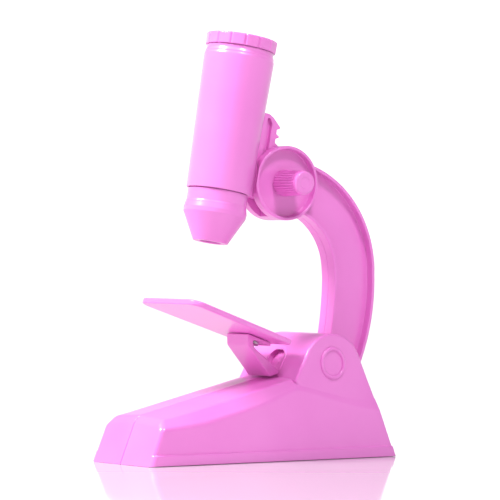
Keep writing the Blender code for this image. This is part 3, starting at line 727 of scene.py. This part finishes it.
# arm
armForm = {
    "seam": 0.04,
    "centre": (70.5, 70.7),
    "outer": 43.17,
    "inner": 24.0,
    "halfWidth": 4.5,
    "web": 1.2,
    "flange": 1.3,
    "lowerOuter": (33.7, 67.5, 79.97),
    "lowerInner": (-39.8, 70.5, 134.5),
    "foot": 8.2,
    "edge": 0.35,
    "drum": 14.2,
    "rim": 1.2,
    "rimPlane": 6.5,
    "dish": 3.5,
    "boss": (3.4, 4.5),
    "bore": 2.15,
}


def lowerArc(centreY, centreZ, radius, low, high, steps):
    heights = [low + (high - low) * step / steps for step in range(steps + 1)]
    return [(centreY + math.sqrt(radius**2 - (z - centreZ) ** 2), z) for z in heights]


def armOutline():
    form = armForm
    outline = arc(form["centre"], form["outer"], 80, 2, 36)
    outline += lowerArc(*form["lowerOuter"], 70.0, 28.0, 20)
    outline += arc(pin, form["foot"], -62, -308, 30)
    outline += lowerArc(*form["lowerInner"], 46.0, 68.5, 10)
    outline += arc(form["centre"], form["inner"], 2, 95, 30)
    return outline


def armPocket():
    form = armForm
    flange = form["flange"]
    outerY, outerZ, outerRadius = form["lowerOuter"]
    innerY, innerZ, innerRadius = form["lowerInner"]
    outline = arc(form["centre"], form["outer"] - flange, 78, 2, 36)
    outline += lowerArc(outerY, outerZ, outerRadius - flange, 70.0, 35.0, 16)
    outline += lowerArc(innerY, innerZ, innerRadius + flange, 35.0, 68.5, 16)
    outline += arc(form["centre"], form["inner"] + flange, 2, 92, 30)
    return outline


def buildArm():
    form = armForm
    seam = form["seam"]
    half = plate("armRight", [armOutline()], roundEdges(seam, form["halfWidth"], 0.2, form["edge"], 3), sidePlace)
    web, face = form["web"], form["halfWidth"]
    pocketProfile = [(web, 0.3), (web + 0.12, 0.1), (web + 0.3, 0)]
    pocketProfile += [(face - 0.3, 0), (face - 0.1, -0.08), (face + 0.02, -0.3), (9.0, -0.3)]
    pocket = plate("pocket", [armPocket()], pocketProfile, sidePlace)
    cut(half, pocket)
    rim, plane = form["drum"], form["rimPlane"]
    inside = rim - form["rim"]
    bossRadius, bossTop = form["boss"]
    profile = [
        (form["bore"], seam),
        (rim, seam, 0.2),
        (rim, plane, 0.45),
        (inside, plane, 0.35),
        (inside, form["dish"], 0.5),
        (bossRadius, form["dish"], 0.3),
        (bossRadius, bossTop, 0.3),
        (form["bore"], bossTop, 0.2),
    ]
    around = lambda a, b, h: sidePlace(drum[0] + a, drum[1] + b, h)
    wheel = lathe("wheel", rounded(profile, 4), around, 144, across=True)
    plug = lathe("plug", [(0, -3.0), (inside - 0.05, -3.0), (inside - 0.05, 9.0), (0, 9.0)], around, 96, across=True)
    cut(half, plug)
    join(half, wheel)
    channel = blockBetween("channel", (-3, 0, 0), (2.75, 22.4, 60), tubePlace)
    room = lathe("room", [(0, -3.0), (7.2, -3.0), (7.2, 2.7), (0, 2.7)], around, 64, across=True)
    gap = lathe("gap", [(0, 0), (14.0, 0), (14.0, 60), (0, 60)], tubePlace, 144)
    bore = lathe("bore", [(0, -3), (1.9, -3), (1.9, 9), (0, 9)], aroundPin, 48, across=True)
    cut(half, channel, room, gap, bore)
    left = mirrored(half, "armLeft")
    finishHalves(half, left, "arm", 5)
    print("arm halves", len(half.data.polygons))


# knobs
knobForm = {
    "span": (3.9, 18.4),
    "radii": (4.95, 4.5),
    "smoothFrom": 16.6,
    "knurls": 30,
    "knurlDepth": 0.3,
    "bore": 2.15,
}


def knurlTree():
    # straight ribs round a tapering core
    tree, inlet, outlet = newTree("knurls")
    addSizes(tree, ("coreRadius", 0.0047), ("tipRadius", 0.0044), ("ribLength", 0.011), ("ribRadius", 0.0003))
    addInput(tree, "count", 30, "NodeSocketInt")
    circle = tree.nodes.new("GeometryNodeMeshCircle")
    rib = tree.nodes.new("GeometryNodeMeshCone")
    rib.inputs["Vertices"].default_value = 8
    spread = tree.nodes.new("GeometryNodeInstanceOnPoints")
    merge = tree.nodes.new("GeometryNodeJoinGeometry")
    spot = tree.nodes.new("GeometryNodeInputPosition")
    face = tree.nodes.new("FunctionNodeAlignRotationToVector")
    face.axis = "X"
    face.pivot_axis = "Z"
    lean = tree.nodes.new("FunctionNodeRotateRotation")
    lean.rotation_space = "LOCAL"
    narrowing = maths(tree, "SUBTRACT", inlet.outputs["tipRadius"], inlet.outputs["coreRadius"])
    taper = maths(tree, "ARCTAN2", narrowing, inlet.outputs["ribLength"])
    turn = tree.nodes.new("ShaderNodeCombineXYZ")
    euler = tree.nodes.new("FunctionNodeEulerToRotation")
    wire(inlet, "count", circle, "Vertices")
    wire(inlet, "coreRadius", circle, "Radius")
    wire(inlet, "ribRadius", rib, "Radius Top")
    wire(inlet, "ribRadius", rib, "Radius Bottom")
    wire(inlet, "ribLength", rib, "Depth")
    wire(spot, "Position", face, "Vector")
    tree.links.new(taper, turn.inputs["Y"])
    wire(turn, "Vector", euler, "Euler")
    wire(face, "Rotation", lean, "Rotation")
    wire(euler, "Rotation", lean, "Rotate By")
    wire(circle, "Mesh", spread, "Points")
    wire(rib, "Mesh", spread, "Instance")
    wire(lean, "Rotation", spread, "Rotation")
    wire(inlet, "Geometry", merge, "Geometry")
    wire(spread, "Instances", merge, "Geometry")
    return endTree(tree, inlet, outlet, merge, "Geometry")


def buildKnobs():
    form = knobForm
    tree = knurlTree()
    low, high = form["span"]
    base, tip = form["radii"]
    ledge = form["smoothFrom"]
    core = base - form["knurlDepth"] / 2
    coreTip = tip - form["knurlDepth"] / 2
    profile = [
        (form["bore"], low),
        (core, low, 0.25),
        (coreTip, ledge),
        (tip, ledge + 0.1, 0.1),
        (tip - 0.05, high, 1.3),
        (2.4, high, 0.5),
        (2.0, high - 0.25, 0.4),
        (0, high - 0.25),
        (0, high - 2.0),
        (form["bore"], high - 2.0),
    ]
    for side, name in ((1, "knobRight"), (-1, "knobLeft")):
        material = pinkPlastic(f"pink{name[0].upper()}{name[1:]}", 7 + side)
        start = low + 0.25
        knob = lathe(name, rounded(profile, 5), lambda a, b, h: Vector((a, b, h - start)) * mm, 120, across=True)
        values = {
            "coreRadius": core * mm,
            "tipRadius": coreTip * mm,
            "ribLength": (ledge - start) * mm,
            "ribRadius": 0.3 * mm,
            "count": form["knurls"],
            "material": material,
        }
        runTree(knob, tree, values)
        place = Matrix.Translation(drumSpot) @ Matrix.Rotation(math.radians(90 * side), 4, "Y")
        knob.data.transform(place @ Matrix.Translation((0, 0, start * mm)))
        node = "knob_right" if side > 0 else "knob_left"
        finishPiece(knob, "drive", [node], material, 40)
    print("knobs")


# tube, nose, rack and eyepiece
tubeForm = {
    "body": ((12.2, 19.5), (13.4, 70.3)),
    "neck": 12.72,
    "bore": (10.6, 11.6, 65.8),
    "noseSleeve": 11.1,
    "bead": (12.1, 12.0),
    "cone": (6.6, 4.2),
}


def buildTube():
    form = tubeForm
    (endRadius, endUp), (topRadius, topUp) = form["body"]
    bore, skirtBore, skirtFrom = form["bore"]
    neck = form["neck"]
    profile = [
        (neck, crownLow - 0.15, 0.1),
        (neck, 73.1, 0.8),
        (neck + 0.42, 72.1, 0.4),
        (neck + 0.42, 71.6, 0.1),
        (topRadius, topUp + 0.5, 0.5),
        (topRadius, topUp - 0.3, 0.3),
        (endRadius, endUp, 0.35),
        (bore, endUp, 0.2),
        (bore, skirtFrom),
        (skirtBore, skirtFrom),
        (skirtBore, crownLow - 0.15, 0.1),
    ]
    body = lathe("bodyTube", rounded(profile, 6), tubePlace, 144)
    finishPiece(body, "tube", ["body_tube"], pinkPlastic("pinkTube", 9))
    sleeve = form["noseSleeve"] + 0.35
    beadRadius, beadUp = form["bead"]
    coneTip, mouth = form["cone"]
    profile = [
        (10.3, 27.0),
        (10.3, 19.25),
        (sleeve, 19.25, 0.1),
        (sleeve, 14.9, 0.4),
        (sleeve + 0.2, 14.2, 0.25),
        (sleeve + 0.25, 13.8, 0.1),
        (beadRadius, beadUp, 0.9),
        (beadRadius - 0.15, beadUp - 1.5, 0.7),
        (coneTip, 0.0, 0.35),
        (mouth, 0.0, 0.25),
        (mouth, 1.6),
        (5.2, 1.6),
        (5.2, 8.0),
        (8.8, 10.5),
        (8.8, 27.0),
    ]
    nose = lathe("noseCone", rounded(profile, 6), tubePlace, 128)
    finishPiece(nose, "tube", ["objective_nose"], pinkPlastic("pinkNose", 10))
    print("tube and nose")


rackForm = {
    "module": 1.1,
    "toothDepth": 1.35,
    "pitchRadius": 5.5,
    "pressureAngle": math.radians(28),
    "halfWidth": 2.4,
    "span": (20.0, 52.7),
    "topTooth": 48.3,
    "web": 0.8,
    "edge": 0.22,
}


def bodyRadius(up):
    (endRadius, endUp), (topRadius, topUp) = tubeForm["body"]
    return endRadius + (topRadius - endRadius) * (up - endUp) / (topUp - endUp)


def toothTree():
    # flat-topped rack teeth in a row along z, standing along y
    tree, inlet, outlet = newTree("rackTeeth")
    sizes = (("pitch", 0.0035), ("rootWidth", 0.003), ("tipWidth", 0.001), ("depth", 0.0024))
    addSizes(tree, *sizes, ("thickness", 0.0048))
    addInput(tree, "count", 8, "NodeSocketInt")
    line = tree.nodes.new("GeometryNodeMeshLine")
    step = tree.nodes.new("ShaderNodeCombineXYZ")
    shape = tree.nodes.new("GeometryNodeCurvePrimitiveQuadrilateral")
    shape.mode = "TRAPEZOID"
    fill = tree.nodes.new("GeometryNodeFillCurve")
    thick = tree.nodes.new("GeometryNodeExtrudeMesh")
    thick.inputs["Individual"].default_value = False
    back = tree.nodes.new("GeometryNodeFlipFaces")
    tooth = tree.nodes.new("GeometryNodeJoinGeometry")
    weld = tree.nodes.new("GeometryNodeMergeByDistance")
    weld.inputs["Distance"].default_value = 1e-6
    spread = tree.nodes.new("GeometryNodeInstanceOnPoints")
    spread.inputs["Rotation"].default_value = (0, math.radians(-90), 0)
    wire(inlet, "count", line, "Count")
    tree.links.new(maths(tree, "MULTIPLY", inlet.outputs["pitch"], -1.0), step.inputs["Z"])
    wire(step, "Vector", line, "Offset")
    wire(inlet, "rootWidth", shape, "Bottom Width")
    wire(inlet, "tipWidth", shape, "Top Width")
    wire(inlet, "depth", shape, "Height")
    shape.inputs["Offset"].default_value = 0
    wire(shape, "Curve", fill, "Curve")
    wire(fill, "Mesh", thick, "Mesh")
    wire(inlet, "thickness", thick, "Offset Scale")
    wire(fill, "Mesh", back, "Mesh")
    wire(thick, "Mesh", tooth, "Geometry")
    wire(back, "Mesh", tooth, "Geometry")
    wire(tooth, "Geometry", weld, "Geometry")
    wire(line, "Mesh", spread, "Points")
    wire(weld, "Geometry", spread, "Instance")
    return endTree(tree, inlet, outlet, spread, "Instances")


def buildRack():
    form = rackForm
    module = form["module"]
    pitch = math.pi * module
    pitchLine = drumBack - form["pitchRadius"]
    tip = pitchLine + module
    root = tip - form["toothDepth"]
    halfPitch = math.pi * module / 4 - 0.1
    slope = math.tan(form["pressureAngle"])
    low, high = form["span"]
    topTooth = form["topTooth"]
    outline = [
        (bodyRadius(low) + 0.05, low),
        (18.0, low, 0.4),
        (root, low + 1.0, 0.4),
        (root, topTooth - halfPitch - (form["toothDepth"] - module) * slope),
        (tip, topTooth - halfPitch + module * slope, 0.25),
        (tip, topTooth + 0.3, 0.3),
        (18.4, high - 1.1, 0.9),
        (16.2, high, 0.9),
        (bodyRadius(high) + 0.05, high),
    ]
    half = form["halfWidth"]
    edge = form["edge"]
    bar = plate("focusRack", [rounded(outline, 4)], roundEdges(-half, half, edge, edge, 3), tubePlace)
    pocket = [(15.6, low + 1.6), (17.4, low + 1.6, 0.3), (18.0, low + 2.4, 0.3)]
    pocket += [(18.0, high - 3.4, 0.6), (16.8, high - 1.6, 0.5), (15.6, high - 1.6, 0.3)]
    for side in (-1, 1):
        web, outside = sorted((side * form["web"], side * 4.0))
        cut(bar, plate("pocket", [rounded(pocket, 4)], [(web, 0), (outside, 0)], tubePlace))
    count = int((topTooth - low - 2.4) / pitch)
    material = pinkPlastic("pinkRack", 11)
    depth = form["toothDepth"] + 0.3
    teeth = newObject("teeth", bmesh.new())
    values = {
        "pitch": pitch * mm,
        "rootWidth": (2 * halfPitch + 2 * (depth - module) * slope) * mm,
        "tipWidth": (2 * halfPitch - 2 * module * slope) * mm,
        "depth": depth * mm,
        "thickness": (2 * half - 0.02) * mm,
        "count": count,
        "material": material,
    }
    runTree(teeth, toothTree(), values)
    corners = np.array([vertex.co for vertex in teeth.data.vertices])
    middle = (corners.max(0) + corners.min(0)) / 2
    toTop = corners[:, 2].max() - values["rootWidth"] / 2
    shift = Vector((-middle[0], (tip - depth / 2) * mm - middle[1], (topTooth - pitch) * mm - toTop))
    teeth.data.transform(tubeFrame @ Matrix.Translation(shift))
    join(bar, teeth)
    finishPiece(bar, "tube", ["focus_rack"], material)
    print("rack with", count + 1, "teeth")


crownForm = {
    "radius": 13.6,
    "span": (74.4, 78.85),
    "lobes": 15,
    "groove": 0.5,
    "grooveWidth": 0.11,
    "flat": 0.14,
    "phase": math.radians(3),
}


def crownTree():
    # narrow grooves part the ring into flattened lobes; the tree moves points towards z
    tree, inlet, outlet = newTree("crownLobes")
    sizes = (("lobes", 15.0), ("groove", 0.0004), ("grooveWidth", 0.09), ("flat", 0.00014), ("outside", 0.0128))
    addSizes(tree, *sizes, ("phase", 0.05))
    spot = tree.nodes.new("GeometryNodeInputPosition")
    parts = tree.nodes.new("ShaderNodeSeparateXYZ")
    wire(spot, "Position", parts, "Vector")
    x, y = parts.outputs["X"], parts.outputs["Y"]
    turn = maths(tree, "DIVIDE", maths(tree, "ADD", maths(tree, "ARCTAN2", y, x), inlet.outputs["phase"]), 2 * math.pi)
    share = maths(tree, "FRACT", maths(tree, "ADD", maths(tree, "MULTIPLY", turn, inlet.outputs["lobes"]), 50.5))
    away = maths(tree, "ABSOLUTE", maths(tree, "SUBTRACT", share, 0.5))
    notch = addNode(tree, "ShaderNodeMapRange", interpolation_type="SMOOTHSTEP", From_Min=0.0, To_Max=0.0)
    tree.links.new(away, notch.inputs["Value"])
    wire(inlet, "grooveWidth", notch, "From Max")
    wire(inlet, "groove", notch, "To Min")
    flat = maths(tree, "MULTIPLY", maths(tree, "MULTIPLY", away, 2.0), inlet.outputs["flat"])
    depth = maths(tree, "ADD", notch.outputs["Result"], flat)
    radius = maths(tree, "SQRT", maths(tree, "ADD", maths(tree, "MULTIPLY", x, x), maths(tree, "MULTIPLY", y, y)))
    outer = maths(tree, "GREATER_THAN", radius, inlet.outputs["outside"])
    move = maths(tree, "DIVIDE", maths(tree, "MULTIPLY", maths(tree, "MULTIPLY", depth, outer), -1.0), radius)
    offset = tree.nodes.new("ShaderNodeCombineXYZ")
    tree.links.new(maths(tree, "MULTIPLY", x, move), offset.inputs["X"])
    tree.links.new(maths(tree, "MULTIPLY", y, move), offset.inputs["Y"])
    shove = tree.nodes.new("GeometryNodeSetPosition")
    wire(inlet, "Geometry", shove, "Geometry")
    wire(offset, "Vector", shove, "Offset")
    return endTree(tree, inlet, outlet, shove, "Geometry")


def buildEyepiece():
    form = crownForm
    radius = form["radius"]
    low, high = form["span"]
    profile = [
        (10.1, 67.0),
        (11.2, 67.0),
        (11.2, low + 0.02, 0.05),
        (radius - 0.15, low + 0.02, 0.35),
        (radius, high, 0.45),
        (9.6, high, 0.4),
        (7.6, high - 1.8, 0.4),
        (7.6, low + 0.8),
        (10.1, low + 0.8),
    ]
    ring = addRings(rounded(profile, 5), 8)
    material = pinkPlastic("pinkCrown", 12)
    crown = lathe("eyepieceRing", ring, lambda a, b, h: Vector((a, b, h)) * mm, form["lobes"] * 24, across=True)
    values = {
        "lobes": float(form["lobes"]),
        "groove": form["groove"] * mm,
        "grooveWidth": form["grooveWidth"],
        "flat": form["flat"] * mm,
        "outside": 0.0128,
        "phase": form["phase"],
        "material": material,
    }
    runTree(crown, crownTree(), values)
    crown.data.transform(tubeFrame)
    finishPiece(crown, "eyepiece", ["eyepiece_ring"], material, 40)
    print("eyepiece ring")


def addRings(profile, count):
    # extra points along the outer wall, for the lobes to bend
    result = []
    for before, after in zip(profile, profile[1:] + profile[:1]):
        result.append(before)
        if before[0] > 13 and after[0] > 13 and after[1] - before[1] > 1:
            for step in range(1, count):
                share = step / count
                result.append((before[0] + (after[0] - before[0]) * share, before[1] + (after[1] - before[1]) * share))
    return result


# screws
def screwTree():
    # a pan head with a cross recess on each point, driven along x
    tree, inlet, outlet = newTree("screws")
    addSizes(tree, ("headRadius", 0.0026), ("headHeight", 0.0018), ("shankRadius", 0.0013), ("shankLength", 0.02))
    head = tree.nodes.new("GeometryNodeMeshCone")
    head.inputs["Vertices"].default_value = 32
    wire(inlet, "headRadius", head, "Radius Bottom")
    tree.links.new(maths(tree, "MULTIPLY", inlet.outputs["headRadius"], 0.8), head.inputs["Radius Top"])
    wire(inlet, "headHeight", head, "Depth")
    shank = tree.nodes.new("GeometryNodeMeshCone")
    shank.inputs["Vertices"].default_value = 24
    wire(inlet, "shankRadius", shank, "Radius Bottom")
    wire(inlet, "shankRadius", shank, "Radius Top")
    wire(inlet, "shankLength", shank, "Depth")
    lower = tree.nodes.new("GeometryNodeTransform")
    down = tree.nodes.new("ShaderNodeCombineXYZ")
    tree.links.new(maths(tree, "SUBTRACT", 0.0001, inlet.outputs["shankLength"]), down.inputs["Z"])
    wire(down, "Vector", lower, "Translation")
    wire(shank, "Mesh", lower, "Geometry")
    body = tree.nodes.new("GeometryNodeMeshBoolean")
    body.operation = "UNION"
    body.solver = "EXACT"
    wire(head, "Mesh", body, "Mesh 2")
    wire(lower, "Geometry", body, "Mesh 2")
    recess = tree.nodes.new("GeometryNodeMeshBoolean")
    recess.operation = "DIFFERENCE"
    recess.solver = "EXACT"
    wire(body, "Mesh", recess, "Mesh 1")
    for wide, narrow in ((1.2, 0.26), (0.26, 1.2)):
        bar = tree.nodes.new("GeometryNodeMeshCube")
        size = tree.nodes.new("ShaderNodeCombineXYZ")
        tree.links.new(maths(tree, "MULTIPLY", inlet.outputs["headRadius"], wide), size.inputs["X"])
        tree.links.new(maths(tree, "MULTIPLY", inlet.outputs["headRadius"], narrow), size.inputs["Y"])
        wire(inlet, "headHeight", size, "Z")
        wire(size, "Vector", bar, "Size")
        lift = tree.nodes.new("GeometryNodeTransform")
        up = tree.nodes.new("ShaderNodeCombineXYZ")
        tree.links.new(maths(tree, "MULTIPLY", inlet.outputs["headHeight"], 0.95), up.inputs["Z"])
        wire(up, "Vector", lift, "Translation")
        wire(bar, "Mesh", lift, "Geometry")
        wire(lift, "Geometry", recess, "Mesh 2")
    spread = tree.nodes.new("GeometryNodeInstanceOnPoints")
    spread.inputs["Rotation"].default_value = (0, math.radians(-90), 0)
    wire(inlet, "Geometry", spread, "Points")
    wire(recess, "Mesh", spread, "Instance")
    return endTree(tree, inlet, outlet, spread, "Instances")


screwSets = {
    "baseScrews": (
        "base", [f"base_screw_{place}" for place in ("front", "middle", "rear", "throat")], 2.6, 1.8, 1.3,
    ),
    "armScrewsDrum": ("arm", ["arm_screw_drum_upper", "arm_screw_drum_lower"], 1.9, 1.0, 0.85),
    "armScrewFoot": ("arm", ["arm_screw_foot"], 1.9, 1.0, 0.85),
}


def buildScrews():
    tree = screwTree()
    for index, (name, (body, nodes, head, height, shank)) in enumerate(screwSets.items()):
        bm = bmesh.new()
        for node in nodes:
            low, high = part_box(node)
            middle = (low + high) / 2
            bm.verts.new((low.x, middle.y, middle.z))
        length = (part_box(nodes[0])[1].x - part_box(nodes[0])[0].x) - height * mm
        points = newObject(name, bm)
        material = steelLook(f"steel{name[0].upper()}{name[1:]}", index)
        values = {
            "headRadius": head * mm,
            "headHeight": height * mm,
            "shankRadius": shank * mm,
            "shankLength": length,
            "material": material,
        }
        runTree(points, tree, values)
        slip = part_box(nodes[0])[0].x - min(vertex.co.x for vertex in points.data.vertices)
        points.data.transform(Matrix.Translation((slip, 0, 0)))
        finishPiece(points, body, nodes, material, 30)
    print("screws")


# the remaining solids keep their shape and get their finish
def paintRest():
    index = 20
    for name, obj in frame["nodes"].items():
        if obj.hide_render:
            continue
        slot = next(part["material_slot"] for part in frame["record"]["subparts"] if part["node"] == name)
        if slot == "steel":
            material = steelLook(f"steel_{name}", index)
        elif slot == "clear_lens":
            material = lensLook(f"lens_{name}")
        else:
            material = pinkPlastic(f"pink_{name}", index)
        obj.data.materials.clear()
        obj.data.materials.append(material)
        index += 1
    print("finishes on the hidden pieces")


# room, lights and camera
roomForm = {
    "floorColour": (0.64, 0.64, 0.64),
    "floorGloss": 0.07,
    "backdrop": 1.2,
    "ambient": 0.3,
    "wall": (0.06, 0.3, 1.32),
    "key": (-17, 50, 1.0, 0.34, 16.5),
    "fill": (80, 56, 1.0, 0.2, 5.4),
    "camera": (1.13522, -0.76407, 0.09069),
    "azimuth": 56.007,
    "elevation": 0.477,
    "lens": 259.2,
}


def addLight(name, spot, target, size, power):
    data = bpy.data.lights.new(name, "AREA")
    data.shape = "RECTANGLE"
    data.size, data.size_y = size
    data.energy = power
    light = bpy.data.objects.new(name, data)
    light.location = spot
    light.rotation_mode = "QUATERNION"
    light.rotation_quaternion = (Vector(spot) - Vector(target)).to_track_quat("Z", "Y")
    bpy.context.scene.collection.objects.link(light)
    return light


def buildRoom():
    form = roomForm
    bm = bmesh.new()
    bmesh.ops.create_grid(bm, x_segments=1, y_segments=1, size=6.0)
    floor = newObject("floor", bm)
    if floor.data.polygons[0].normal.z < 0:
        floor.data.flip_normals()
    floor.location.z = cadLow.z - 0.0001
    material, tree, shader, place = newMaterial("paleFloor")
    cloud = addNode(tree, "ShaderNodeTexNoise", Scale=1.5, Detail=2.0)
    tone = twoTones(tree, form["floorColour"], [part * 1.02 for part in form["floorColour"]])
    wire(place, "Object", cloud, "Vector")
    wire(cloud, "Fac", tone, "Fac")
    wire(tone, "Color", shader, "Base Color")
    shader.inputs["Roughness"].default_value = form["floorGloss"]
    shader.inputs["IOR"].default_value = 1.45
    floor.data.materials.append(material)

    world = bpy.data.worlds.new("studio")
    bpy.context.scene.world = world
    world.use_nodes = True
    tree = world.node_tree
    sky = tree.nodes["Background"]
    white = addNode(tree, "ShaderNodeBackground", Color=(1, 1, 1, 1), Strength=form["backdrop"])
    path = addNode(tree, "ShaderNodeLightPath")
    choose = addNode(tree, "ShaderNodeMixShader")
    place = addNode(tree, "ShaderNodeTexCoord")
    parts = addNode(tree, "ShaderNodeSeparateXYZ")
    foot, top, bright = form["wall"]
    # a white wall round the room, a dimmer ceiling above it
    rise = addNode(
        tree, "ShaderNodeMapRange", interpolation_type="SMOOTHSTEP",
        From_Min=foot, From_Max=top, To_Min=bright, To_Max=form["ambient"],
    )
    wire(place, "Generated", parts, "Vector")
    wire(parts, "Z", rise, "Value")
    wire(rise, "Result", sky, "Strength")
    wire(path, "Is Camera Ray", choose, "Fac")
    wire(sky, 0, choose, 1)
    wire(white, 0, choose, 2)
    tree.links.new(choose.outputs[0], tree.nodes["World Output"].inputs["Surface"])
    sky.inputs["Color"].default_value = (1, 1, 1, 1)

    middle = (0, 0, 0.07)
    for name in ("key", "fill"):
        azimuth, elevation, distance, size, power = form[name]
        azimuth, elevation = math.radians(azimuth), math.radians(elevation)
        level = distance * math.cos(elevation)
        spot = (level * math.sin(azimuth), -level * math.cos(azimuth), middle[2] + distance * math.sin(elevation))
        addLight(name, spot, middle, (size, size), power)

    camera = bpy.data.cameras.new("camera")
    camera.lens = form["lens"]
    camera.sensor_width = 36.0
    camera.clip_start = 0.05
    camera.clip_end = 30.0
    eye = bpy.data.objects.new("camera", camera)
    eye.location = form["camera"]
    azimuth = math.radians(form["azimuth"])
    elevation = math.radians(form["elevation"])
    level = math.cos(elevation)
    back = Vector((math.sin(azimuth) * level, -math.cos(azimuth) * level, math.sin(elevation)))
    eye.rotation_mode = "QUATERNION"
    eye.rotation_quaternion = (-back).to_track_quat("-Z", "Y")
    bpy.context.scene.collection.objects.link(eye)
    bpy.context.scene.camera = eye
    bpy.context.scene.view_settings.view_transform = "Standard"
    print("room")


buildBase()
buildStage()
buildArm()
buildKnobs()
buildTube()
buildRack()
buildEyepiece()
buildScrews()
paintRest()
buildRoom()
